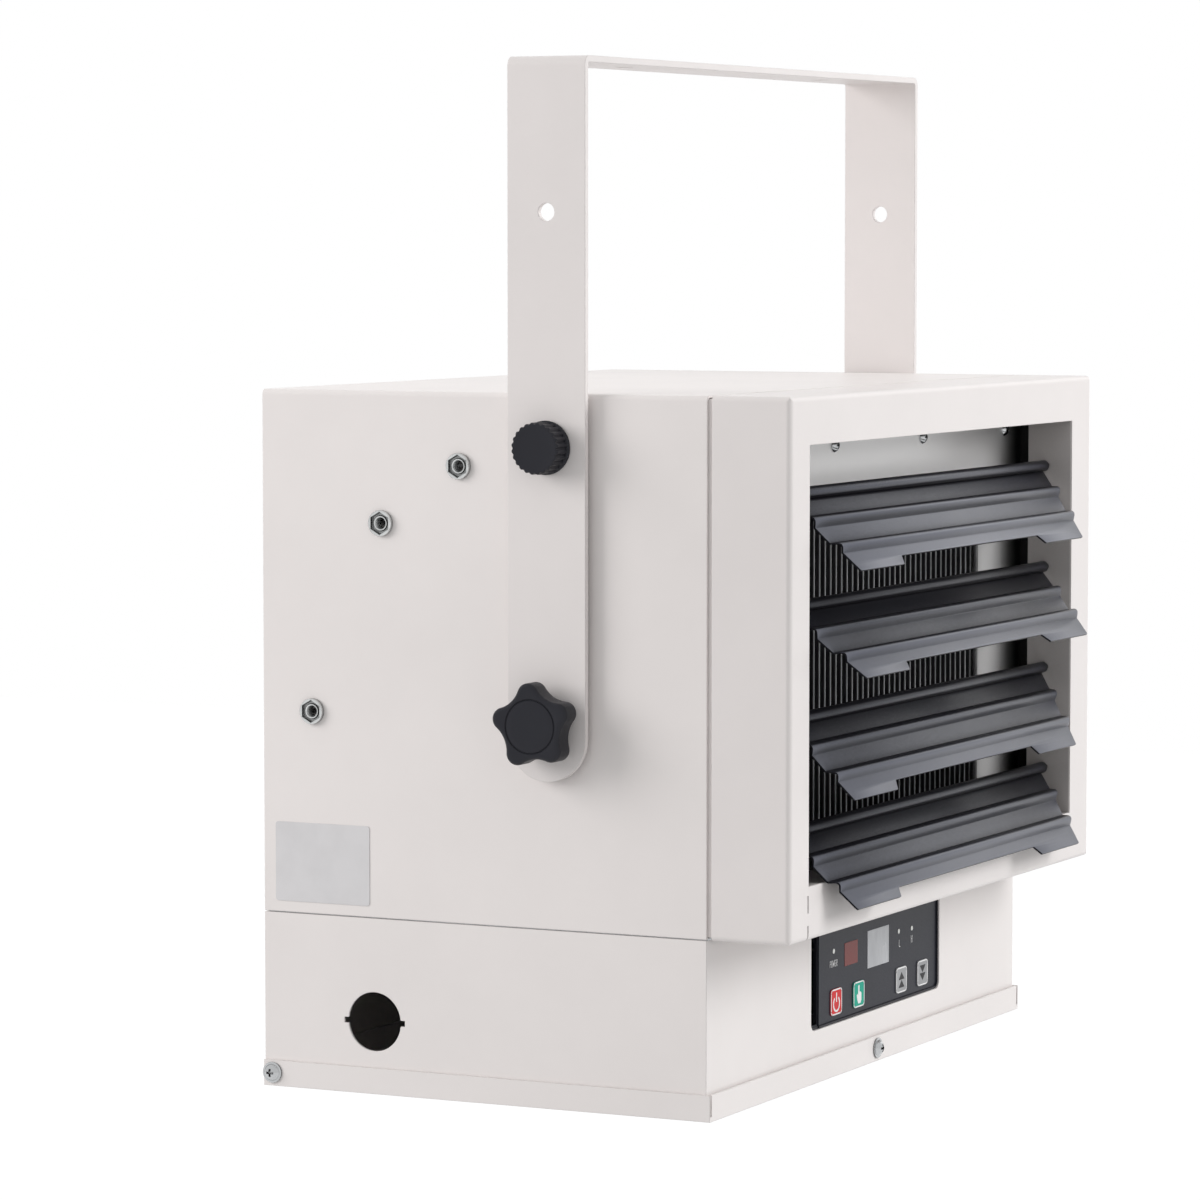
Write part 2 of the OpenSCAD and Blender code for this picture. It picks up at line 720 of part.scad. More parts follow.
// Profile of the blade's sheet: u runs from the pivot to the lip and becomes +X here
module sheet_profile() {
  stations = concat(
    [0],
    [for (i = [0:bead_steps]) bead_u1 - bead_w / 2 + i * bead_w / bead_steps],
    [for (i = [0:bead_steps]) bead_u2 - bead_w / 2 + i * bead_w / bead_steps],
    [blade_chord]
  );
  last = len(stations) - 1;
  polygon(concat(
    [for (i = [0:last]) [stations[i], blade_line(stations[i]) + blade_t / 2]],
    [for (i = [last:-1:0]) [stations[i], blade_line(stations[i]) - blade_t / 2]]
  ));
}

// Blade outline seen from above, with the lip towards -Y
module blade_outline() {
  hem_half = open_w / 2 - blade_side_gap;
  lip_half_w = hem_half - blade_taper * blade_chord;
  foot = hem_r + 1;
  tab_in = lip_half_w - tab_w;
  slant = 4;
  polygon([
    [-hem_half, foot], [-hem_half, 0], [-lip_half_w, -blade_chord], [-tab_in, -blade_chord],
    [-tab_in + slant, -blade_chord + notch_d], [tab_in - slant, -blade_chord + notch_d], [tab_in, -blade_chord],
    [lip_half_w, -blade_chord], [hem_half, 0], [hem_half, foot]
  ]);
}

module louvre_blade(k) {
  hem_l = open_w - 2 * blade_side_gap;
  color(c_louvre) in_heater() translate([open_mid, louvre_y, louvre_z(k)]) rotate([blade_tilts[k], 0, 0])
    difference() {
      union() {
        rotate([0, 90, 0]) cylinder(r = hem_r, h = hem_l, center = true);
        intersection() {
          rotate([90, 0, -90]) linear_extrude(open_w, center = true) sheet_profile();
          linear_extrude(40, center = true) blade_outline();
        }
      }
      rotate([0, 90, 0]) cylinder(r = rod_r + fit, h = open_w, center = true);
    }
}

module louvre_rod(k) {
  color(c_zinc) in_heater() translate([open_mid, louvre_y, louvre_z(k)]) rotate([0, 90, 0])
    cylinder(r = rod_r, h = open_w + 2 * (sheet_t + rod_end), center = true);
}

module louvre_blade_1() { louvre_blade(0); }
module louvre_blade_2() { louvre_blade(1); }
module louvre_blade_3() { louvre_blade(2); }
module louvre_blade_4() { louvre_blade(3); }
module louvre_rod_1() { louvre_rod(0); }
module louvre_rod_2() { louvre_rod(1); }
module louvre_rod_3() { louvre_rod(2); }
module louvre_rod_4() { louvre_rod(3); }

// --- Heating element -----------------------------------------------------

// Places a child at each reflector screw, on the reflector's front face
module reflector_screw_places() {
  for (i = [-1.5:1:1.5], z = [reflector_screw_z0, reflector_screw_z1])
    facing_front(i * reflector_screw_pitch, reflector_y0, z) children();
}

// A plate across the hood's lip with a window for the element
module window_plate(y0, t) {
  edge = lip_inner_half - sheet_gap;
  z0 = lip_z0 + sheet_t + sheet_gap;
  z1 = lip_z1 - sheet_t - sheet_gap;
  difference() {
    translate([-edge, y0, z0]) cube([2 * edge, t, z1 - z0]);
    translate([-fins_w / 2, y0 - cut, fin_z0]) cube([fins_w, t + 2 * cut, fin_h]);
    reflector_screw_places() translate([0, 0, -10]) cylinder(d = 3.6, h = 20);
  }
}

module partition_plate() {
  color(c_steel) in_heater() window_plate(partition_y0, sheet_t);
}

module reflector_plate() {
  color(c_steel) in_heater() window_plate(reflector_y0, reflector_t);
}

module reflector_screws() {
  color(c_zinc) in_heater() reflector_screw_places() translate([0, 0, seat]) pan_screw(3.5, 7, 2.4, 6);
}

// Folded frame that holds the fins' rods and hangs on the partition
module element_frame() {
  y0 = partition_y0 + sheet_t + seat;
  y1 = element_y0 + fin_d + 1;
  color(c_zinc) in_heater() difference() {
    translate([-frame_half - sheet_t, y0, frame_z0 - sheet_t])
      cube([2 * (frame_half + sheet_t), y1 - y0, frame_z1 - frame_z0 + 2 * sheet_t]);
    translate([-frame_half, y0 - cut, frame_z0]) cube([2 * frame_half, y1 - y0 + 2 * cut, frame_z1 - frame_z0]);
    rod_leg_places() translate([0, 0, -half_w]) cylinder(d = heater_rod_d + 2 * fit, h = casing_w);
  }
}

// Places a child on the axis of each rod leg, with +Z along +X
module rod_leg_places() {
  for (i = [-1:1], leg = [-1, 1])
    translate([0, rod_y, element_z + i * rod_pitch + leg * rod_leg_pitch / 2]) rotate([0, 90, 0]) children();
}

module heating_fins() {
  color(c_black) in_heater() difference() {
    for (i = [0:fin_count - 1])
      translate([-fins_w / 2 + i * fin_pitch, element_y0, fin_z0]) cube([fin_t, fin_d, fin_h]);
    rod_leg_places() translate([0, 0, -half_w]) cylinder(d = heater_rod_d + 2 * fit, h = casing_w);
  }
}

// One U-shaped sheathed rod: two legs and the bend that joins them
module heating_rods() {
  bend_radius = rod_leg_pitch / 2;
  color(c_steel) in_heater() for (i = [-1:1]) {
    for (leg = [-1, 1])
      translate([rod_bend_x, rod_y, element_z + i * rod_pitch + leg * bend_radius]) rotate([0, 90, 0])
        cylinder(d = heater_rod_d, h = rod_ends_x - rod_bend_x);
    translate([rod_bend_x, rod_y, element_z + i * rod_pitch]) intersection() {
      rotate([90, 0, 0]) rotate_extrude() translate([bend_radius, 0]) circle(d = heater_rod_d);
      translate([-half_w + eps, -heater_rod_d, -rod_leg_pitch]) cube([half_w, 2 * heater_rod_d, 2 * rod_leg_pitch]);
    }
  }
}

// Ceramic insulator and screw pin on the end of each rod leg
module rod_terminals() {
  color([0.92, 0.90, 0.84]) in_heater() rod_leg_places() translate([0, 0, rod_ends_x + seat]) {
    cylinder(d = heater_rod_d + 2, h = 5);
    translate([0, 0, 5]) cylinder(d = heater_rod_d, h = 3);
    translate([0, 0, 8 - eps]) cylinder(d = 4, h = 8);
  }
}

module thermal_cutout() {
  color(c_steel) in_heater() translate([-frame_half / 2, element_y0 + fin_d / 2, frame_z1 + sheet_t + seat]) {
    translate([-12, -5, 0]) cube([24, 10, 1]);
    cylinder(d = 16, h = 9);
  }
}

// --- Fan -----------------------------------------------------------------

module fan_shroud() {
  edge = inner_half - 2 * sheet_gap - sheet_t;
  z0 = sheet_t + sheet_gap;
  z1 = casing_h - sheet_t - sheet_gap;
  color(c_zinc) in_heater() difference() {
    union() {
      translate([-edge, shroud_y, z0]) cube([2 * edge, sheet_t, z1 - z0]);
      facing_rear(0, shroud_y, fan_z) cylinder(r = shroud_r + sheet_t, h = shroud_ring_d, $fn = 128);
    }
    facing_rear(0, shroud_y - cut, fan_z) cylinder(r = shroud_r, h = shroud_ring_d + 2 * cut, $fn = 128);
  }
}

// Strap behind the fan that carries the motor, with a foot on the shroud at each end
module motor_bracket() {
  foot = 6;
  y0 = shroud_y + sheet_t + seat;
  color(c_zinc) in_heater() difference() {
    union() {
      translate([-strut_w / 2, strut_y, fan_z - strut_leg_z]) cube([strut_w, strut_t, 2 * strut_leg_z]);
      for (s = [-1, 1]) {
        translate([-strut_w / 2, y0, fan_z + s * (strut_leg_z - strut_t / 2) - strut_t / 2])
          cube([strut_w, strut_y - y0 + eps, strut_t]);
        translate([-strut_w / 2, y0, fan_z + s * (strut_leg_z + foot / 2 - strut_t) - foot / 2])
          cube([strut_w, strut_t, foot]);
      }
    }
    facing_rear(0, strut_y - cut, fan_z) cylinder(d = 24, h = strut_t + 2 * cut);
    motor_screw_places() translate([0, 0, -cut]) cylinder(d = 4.4, h = strut_t + 2 * cut);
  }
}

module motor_screw_places() {
  for (s = [-1, 1]) facing_rear(0, strut_y, fan_z + s * motor_d * 0.32) children();
}

module fan_motor() {
  cap_l = 12;
  rib = 3;
  color(c_steel) in_heater() facing_rear(0, motor_y0 + seat, fan_z) difference() {
    union() {
      cylinder(d = motor_d - 2 * rib, h = motor_l);
      cylinder(d = motor_d, h = cap_l);
      translate([0, 0, motor_l - cap_l]) cylinder(d = motor_d, h = cap_l);
    }
    translate([0, 0, -cut]) cylinder(d = shaft_d + 2 * fit, h = motor_l - 8 + cut);
    for (a = [0:45:315]) rotate(a) translate([motor_d * 0.3, 0, motor_l - 4]) cylinder(d = 6, h = 4 + cut);
  }
}

module motor_shaft() {
  y0 = fan_y0 - 8;
  color(c_zinc) in_heater() facing_rear(0, y0, fan_z)
    cylinder(d = shaft_d, h = motor_y0 + motor_l - 8 - touch - y0);
}

module fan_wheel() {
  blade_thick = 1.6;
  color(c_steel) in_heater() difference() {
    union() {
      facing_rear(0, fan_y0, fan_z) cylinder(d = fan_hub_d, h = fan_hub_l);
      intersection() {
        facing_rear(0, fan_y0, fan_z) difference() {
          cylinder(d = fan_dia, h = fan_hub_l);
          translate([0, 0, -cut]) cylinder(d = fan_hub_d - 2, h = fan_hub_l + 2 * cut);
        }
        union() for (i = [0:fan_blades - 1])
          translate([0, fan_y0 + fan_hub_l / 2, fan_z]) rotate([0, i * 360 / fan_blades, 0])
            rotate([0, 0, fan_pitch_angle]) translate([-fan_blade_w / 2, -blade_thick / 2, 0])
              cube([fan_blade_w, blade_thick, fan_dia / 2 + 1]);
      }
    }
    facing_rear(0, fan_y0 - cut, fan_z) cylinder(d = shaft_d + 2 * fit, h = fan_hub_l + 2 * cut);
  }
}

module fan_nut() {
  color(c_zinc) in_heater() facing_front(0, fan_y0 - seat, fan_z) difference() {
    cylinder(d = 15, h = 6, $fn = 6);
    translate([0, 0, -cut]) cylinder(d = shaft_d + 2 * fit, h = 6 + 2 * cut);
  }
}

// --- Nuts, washers and plate on the casing's sides ------------------------

// Threaded insert with a round flange and a six-sided socket, seat at z = 0
module insert_nut(bore_d, flange_d, flange_h) {
  socket_r = nut_hex / sqrt(3) * flange_d / lock_nut_d;
  ring_d = nut_ring_d * flange_d / lock_nut_d;
  barrel_d = bore_d + 2 * nut_wall;
  socket_d = flange_h - 0.6;
  difference() {
    union() {
      cylinder(d = flange_d, h = flange_h);
      translate([0, 0, -nut_barrel_l]) cylinder(d = barrel_d, h = nut_barrel_l + eps);
    }
    translate([0, 0, flange_h - socket_d]) difference() {
      cylinder(r = socket_r, h = socket_d + cut, $fn = 6);
      translate([0, 0, -cut]) cylinder(d = ring_d, h = socket_d - 0.5 + cut);
    }
    translate([0, 0, -nut_barrel_l - cut]) cylinder(d = bore_d, h = nut_barrel_l + flange_h + 2 * cut);
  }
}

module lock_nuts() {
  color(c_zinc) in_heater() for (side = [-1, 1], a = lock_angles)
    out_of_side(side, half_w + seat, lock_y(a), lock_z(a))
      insert_nut(lock_stud_d + 2 * fit, lock_nut_d, lock_nut_h - seat);
}

module pivot_nuts() {
  color(c_zinc) in_heater() for (side = [-1, 1])
    out_of_side(side, half_w + seat, pivot_y, pivot_z)
      insert_nut(pivot_stud_d + 2 * fit, pivot_nut_d, pivot_nut_h - seat);
}

module pivot_washers() {
  color([0.85, 0.85, 0.82]) in_heater() for (side = [-1, 1])
    out_of_side(side, half_w + pivot_nut_h + seat, pivot_y, pivot_z) difference() {
      cylinder(d = washer_d, h = washer_t);
      translate([0, 0, -cut]) cylinder(d = pivot_stud_d + 2 * fit, h = washer_t + 2 * cut);
    }
}

module rating_plate() {
  plate_l = 51;
  plate_h = 38;
  plate_t = 0.3;
  y_mid = rear_face - 33;
  z_mid = 24.8;
  color([0.80, 0.81, 0.82]) in_heater() out_of_side(-1, half_w, y_mid, z_mid)
    linear_extrude(plate_t) round_rect(plate_h, plate_l, 1.5);
}

// --- Control box ---------------------------------------------------------

// Outline of the control panel's window with rounded corners
module panel_outline(grow) {
  translate([panel_x, panel_z0 + panel_h / 2]) round_rect(panel_w + 2 * grow, panel_h + 2 * grow, window_r + grow);
}

module control_box() {
  color(c_white) in_heater() difference() {
    translate([-half_w, box_front, box_bottom]) cube([casing_w, box_rear - box_front, -box_bottom]);
    translate([-inner_half, box_front + sheet_t, box_bottom - cut])
      cube([2 * inner_half, box_rear - box_front - 2 * sheet_t, -box_bottom - sheet_t + cut]);
    translate([-inner_half + box_flange, box_front + sheet_t + box_flange, -2 * sheet_t])
      cube([2 * (inner_half - box_flange), box_rear - box_front - 2 * (sheet_t + box_flange), 3 * sheet_t]);
    along_y(box_front - cut, box_front + sheet_t + cut) panel_outline(0);
    out_of_side(-1, half_w - sheet_t - cut, knockout_y, -knockout_z) knockout_hole();
    tray_screw_places() translate([0, 0, -10]) cylinder(d = 3.6, h = 20);
    floor_screw_places() translate([0, 0, -10]) cylinder(d = floor_screw_d, h = 20);
  }
}

// The open knockout with the two notches that its tabs leave
module knockout_hole() {
  cylinder(d = knockout_d, h = sheet_t + 2 * cut, $fn = 96);
  translate([-notch_w / 2, -knockout_d / 2 - notch_out, 0])
    cube([notch_w, knockout_d + 2 * notch_out, sheet_t + 2 * cut]);
}

// Places a child at each bottom cover screw, on the control box's wall
module tray_screw_places() {
  facing_front(tray_screw_front_x, box_front, tray_screw_z) children();
  facing_rear(-tray_screw_front_x, box_rear, tray_screw_z) children();
  for (side = [-1, 1]) out_of_side(side, half_w, tray_screw_side_y, tray_screw_z) children();
}

module bottom_cover() {
  z0 = -box_h;
  corner_gap = 0.8;
  y_len = box_rear - tray_front;
  inside = inner_half - tray_gap;
  color(c_white) in_heater() difference() {
    union() {
      difference() {
        translate([-tray_half, tray_front, z0]) cube([2 * tray_half, y_len, tray_flange_h]);
        translate([-tray_half + sheet_t, tray_front + sheet_t, z0 + sheet_t])
          cube([2 * (tray_half - sheet_t), y_len, tray_flange_h]);
        translate([-half_w, tray_back, z0 - cut]) cube([casing_w, y_len, tray_flange_h]);
      }
      translate([-inside, tray_back - sheet_t, z0]) cube([2 * inside, sheet_t, tray_flange_h]);
    }
    // open corners where the folded edges meet
    for (sx = [-1, 1]) translate([sx * (tray_half - sheet_t) - corner_gap, tray_front - 2 * sheet_t, z0 + 2 * sheet_t])
      cube([2 * corner_gap, 4 * sheet_t, tray_flange_h]);
    tray_screw_places() translate([0, 0, -10]) cylinder(d = 4, h = 20);
  }
}

module cover_screws() {
  color(c_zinc) in_heater() {
    facing_front(tray_screw_front_x, tray_front - seat, tray_screw_z) cover_screw();
    facing_rear(-tray_screw_front_x, box_rear + seat, tray_screw_z) cover_screw();
    for (side = [-1, 1]) out_of_side(side, tray_half + seat, tray_screw_side_y, tray_screw_z) cover_screw();
  }
}

module cover_screw() {
  cylinder(d = 10, h = 0.8);
  translate([0, 0, 0.8 - eps]) pan_screw(3.5, 8, 2.6, 8);
}

// Black housing behind the window, open towards the front and beside the overlay
module panel_housing() {
  rim = panel_low - panel_h - sheet_t - sheet_gap;
  y0 = box_front + sheet_t + seat;
  gap_x1 = panel_x0 + panel_gap - overlay_edge;
  color(c_black) in_heater() difference() {
    union() {
      along_y(box_front + sheet_t / 2, panel_face + housing_t) panel_outline(-sheet_gap);
      along_y(y0, y0 + 1.6) panel_outline(rim);
    }
    along_y(box_front, panel_face) panel_outline(-sheet_gap - overlay_edge);
    // in the window the gap reaches the sheet's edge, behind it the rim stays
    translate([panel_x0 - 1, box_front, panel_z0 - 1]) cube([gap_x1 - panel_x0 + 1, y0 - box_front, panel_h + 2]);
    translate([panel_x0 + 2, box_front, panel_z0 + 2]) cube([gap_x1 - panel_x0 - 2, 20, panel_h - 4]);
    for (i = [0:3]) key_place(i) key_bore(touch + 0.6);
    lamp_places() translate([0, 0, -20]) cylinder(d = lamp_d + 2 * seat, h = 40);
    window_bore(receiver_box(), -sheet_gap);
    window_bore(display_box(), -sheet_gap);
  }
}

// Places a child at key i, on the overlay's face, with +Z forwards
module key_place(i) {
  facing_front(panel_x0 + key_xs[i], panel_face - overlay_t, key_z) children();
}

module key_bore(grow) {
  translate([0, 0, -20]) linear_extrude(40) round_rect(key_w - 4 + 2 * grow, key_h - 4 + 2 * grow, 1.5);
}

// Windows in the overlay: [x, z, width, height] from the panel's lower left corner
function receiver_box() = [42.95, 26.1, 16, 11.4];
function display_box() = [71.25, 21.3, 26.7, 18.6];

module window_bore(b, grow) {
  translate([panel_x0 + b[0] - grow, panel_face - 10, panel_z0 + b[1] - grow])
    cube([b[2] + 2 * grow, 20, b[3] + 2 * grow]);
}

module window_pane(b, t) {
  translate([panel_x0 + b[0], panel_face - overlay_t - 0.1, panel_z0 + b[1]]) cube([b[2], t, b[3]]);
}

module lamp_places() {
  for (p = [[29.75, 35.3], [110.65, 35], [127.45, 34.5]])
    facing_front(panel_x0 + p[0], panel_face, panel_z0 + p[1]) children();
}

module control_overlay() {
  color(c_overlay) in_heater() difference() {
    along_y(panel_face - overlay_t, panel_face) panel_outline(-sheet_gap - overlay_edge - seat);
    translate([panel_x0 - cut, box_front, panel_z0 - cut]) cube([panel_gap + cut, 10, panel_h + 2 * cut]);
    for (i = [0:3]) key_place(i) translate([0, 0, -5])
      linear_extrude(10) round_rect(key_w + 2 * seat, key_h + 2 * seat, 2 + seat);
    lamp_places() translate([0, 0, -10]) cylinder(d = lamp_d + 2 * seat, h = 20);
    window_bore(receiver_box(), seat);
    window_bore(display_box(), seat);
  }
}

module display_window() {
  color([0.72, 0.74, 0.75]) in_heater() window_pane(display_box(), overlay_t);
}

module receiver_window() {
  color([0.55, 0.13, 0.12]) in_heater() window_pane(receiver_box(), overlay_t);
}

module indicator_lamps() {
  color([0.85, 0.85, 0.80]) in_heater() lamp_places() translate([0, 0, -(board_y - panel_face) + seat])
    cylinder(d = lamp_d, h = board_y - panel_face + overlay_t + 0.1);
}

// One key: a cap in the overlay with a stem through the housing
module key(i, tint) {
  cap_foot = -overlay_t + button_travel + key_gap;
  color(tint) in_heater() key_place(i) {
    translate([0, 0, cap_foot]) linear_extrude(key_cap_t) round_rect(key_w, key_h, 2);
    translate([0, 0, -overlay_t - key_stem_l]) linear_extrude(overlay_t + key_stem_l + cap_foot + eps)
      round_rect(key_w - 4, key_h - 4, 1.5);
  }
}

module power_button() { key(0, [0.80, 0.15, 0.13]); }
module manual_button() { key(1, [0.05, 0.55, 0.42]); }
module up_button() { key(2, [0.62, 0.64, 0.66]); }
module down_button() { key(3, [0.62, 0.64, 0.66]); }

module control_board() {
  margin = 4;
  color(c_board) in_heater() difference() {
    translate([panel_x0 + panel_gap + 2, board_y, panel_z0 + margin])
      cube([panel_w - panel_gap - 2 - margin, board_t, panel_h - 2 * margin]);
    for (sx = [panel_gap + 6, panel_w - margin - 4], sz = [margin + 4, panel_h - margin - 4])
      facing_rear(panel_x0 + sx, board_y - cut, panel_z0 + sz) cylinder(d = 3.2, h = board_t + 2 * cut);
  }
}

module button_switches() {
  color(c_black) in_heater() for (i = [0:3])
    translate([panel_x0 + key_xs[i] - switch_w / 2, board_y - seat - switch_h, key_z - switch_w / 2])
      cube([switch_w, switch_h, switch_w]);
}

// --- Power parts, hung under the casing floor ------------------------------

module power_board() {
  color(c_board) in_heater() {
    translate([power_x0, power_y0, -board_stand - board_t]) cube([power_w, power_l, board_t]);
    for (sx = [6, power_w - 6], sy = [6, power_l - 6])
      translate([power_x0 + sx, power_y0 + sy, -board_stand - eps]) cylinder(d = 7, h = board_stand - seat);
  }
}

module power_relays() {
  color([0.15, 0.25, 0.55]) in_heater() for (i = [0:2])
    translate([relay_x0 + i * relay_pitch, relay_y0, power_top - relay_h]) cube([relay_w, relay_l, relay_h]);
}

// Iron core with its winding around it
module transformer() {
  core_l = transformer_h * 0.88;
  lap = 6;
  color([0.75, 0.62, 0.30]) in_heater() {
    translate([transformer_x0, transformer_y0 + lap, power_top - transformer_h])
      cube([transformer_w, core_l, transformer_h]);
    translate([transformer_x0 + lap, transformer_y0, power_top - transformer_h + lap])
      cube([transformer_w - 2 * lap, core_l + 2 * lap, transformer_h - 2 * lap]);
  }
}

module terminal_block() {
  pole = terminal_w / 4;
  color([0.93, 0.92, 0.88]) in_heater() translate([terminal_x0, terminal_y0, -terminal_h - seat]) difference() {
    cube([terminal_w, terminal_l, terminal_h]);
    for (i = [0:3]) translate([pole / 2 + i * pole, terminal_l / 2, -cut]) cylinder(d = pole / 2, h = 12 + cut);
  }
}

module earth_screw() {
  color([0.15, 0.50, 0.20]) in_heater() translate([earth_x, earth_y, -seat]) rotate([180, 0, 0])
    pan_screw(earth_d, 9, 3, sheet_t + 1);
}

// --- Assembly --------------------------------------------------------------

mounting_bracket();
casing_shell();
casing_floor();
rear_panel();
rear_panel_screws();
fan_guard();
front_hood();
partition_plate();
reflector_plate();
reflector_screws();
element_frame();
heating_fins();
heating_rods();
rod_terminals();
fan_shroud();
motor_bracket();
fan_motor();
motor_shaft();
fan_wheel();
fan_nut();
thermal_cutout();
lock_nuts();
pivot_nuts();
pivot_washers();
rating_plate();
louvre_blade_1();
louvre_blade_2();
louvre_blade_3();
louvre_blade_4();
louvre_rod_1();
louvre_rod_2();
louvre_rod_3();
louvre_rod_4();
control_box();
bottom_cover();
cover_screws();
panel_housing();
control_overlay();
display_window();
receiver_window();
indicator_lamps();
power_button();
manual_button();
up_button();
down_button();
control_board();
button_switches();
power_board();
power_relays();
transformer();
terminal_block();
earth_screw();
star_knob_left();
star_knob_right();
pivot_stud_left();
pivot_stud_right();
lock_knob_left();
lock_knob_right();
lock_stud_left();
lock_stud_right();
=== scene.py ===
import bpy
import bmesh
import json
from math import sin, cos, tan, pi, radians, sqrt
from mathutils import Vector, Matrix


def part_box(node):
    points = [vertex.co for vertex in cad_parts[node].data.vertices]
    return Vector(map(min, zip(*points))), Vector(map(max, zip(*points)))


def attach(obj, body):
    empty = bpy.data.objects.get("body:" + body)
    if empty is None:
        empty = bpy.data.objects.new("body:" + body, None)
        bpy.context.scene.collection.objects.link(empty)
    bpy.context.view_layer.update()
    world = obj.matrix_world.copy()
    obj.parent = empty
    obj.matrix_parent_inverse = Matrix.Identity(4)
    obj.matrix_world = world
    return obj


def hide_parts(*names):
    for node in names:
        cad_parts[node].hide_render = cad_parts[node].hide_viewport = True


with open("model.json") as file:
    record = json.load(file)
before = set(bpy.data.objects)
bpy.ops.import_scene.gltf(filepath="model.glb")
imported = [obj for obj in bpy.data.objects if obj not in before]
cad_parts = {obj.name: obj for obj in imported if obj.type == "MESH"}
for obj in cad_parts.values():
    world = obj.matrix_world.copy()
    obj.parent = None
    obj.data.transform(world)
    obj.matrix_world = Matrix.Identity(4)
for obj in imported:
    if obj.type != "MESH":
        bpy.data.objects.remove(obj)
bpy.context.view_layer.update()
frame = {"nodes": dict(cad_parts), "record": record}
scene = bpy.context.scene
NODES = frame["nodes"]
MM = 0.001

# ---------------------------------------------------------------------------
# Camera at the photograph's angle: a long lens a little above the heater
# ---------------------------------------------------------------------------
CAM_AT = Vector((-2.2850, -1.0575, -0.0800))
CAM_YAW = radians(63.75)
CAM_PITCH = radians(4.16)
CAM_LENS = 152.4

forward = Vector((sin(CAM_YAW) * cos(CAM_PITCH), cos(CAM_YAW) * cos(CAM_PITCH), -sin(CAM_PITCH)))
cam_data = bpy.data.cameras.new("camera")
cam_data.lens = CAM_LENS
cam_data.sensor_width = 36.0
cam_data.sensor_fit = 'AUTO'
cam_data.clip_start = 0.05
cam_data.clip_end = 60.0
camera = bpy.data.objects.new("camera", cam_data)
camera.location = CAM_AT
camera.rotation_euler = forward.to_track_quat('-Z', 'Y').to_euler()
scene.collection.objects.link(camera)
scene.camera = camera
scene.view_settings.view_transform = 'Standard'

# ---------------------------------------------------------------------------
# Materials
# ---------------------------------------------------------------------------


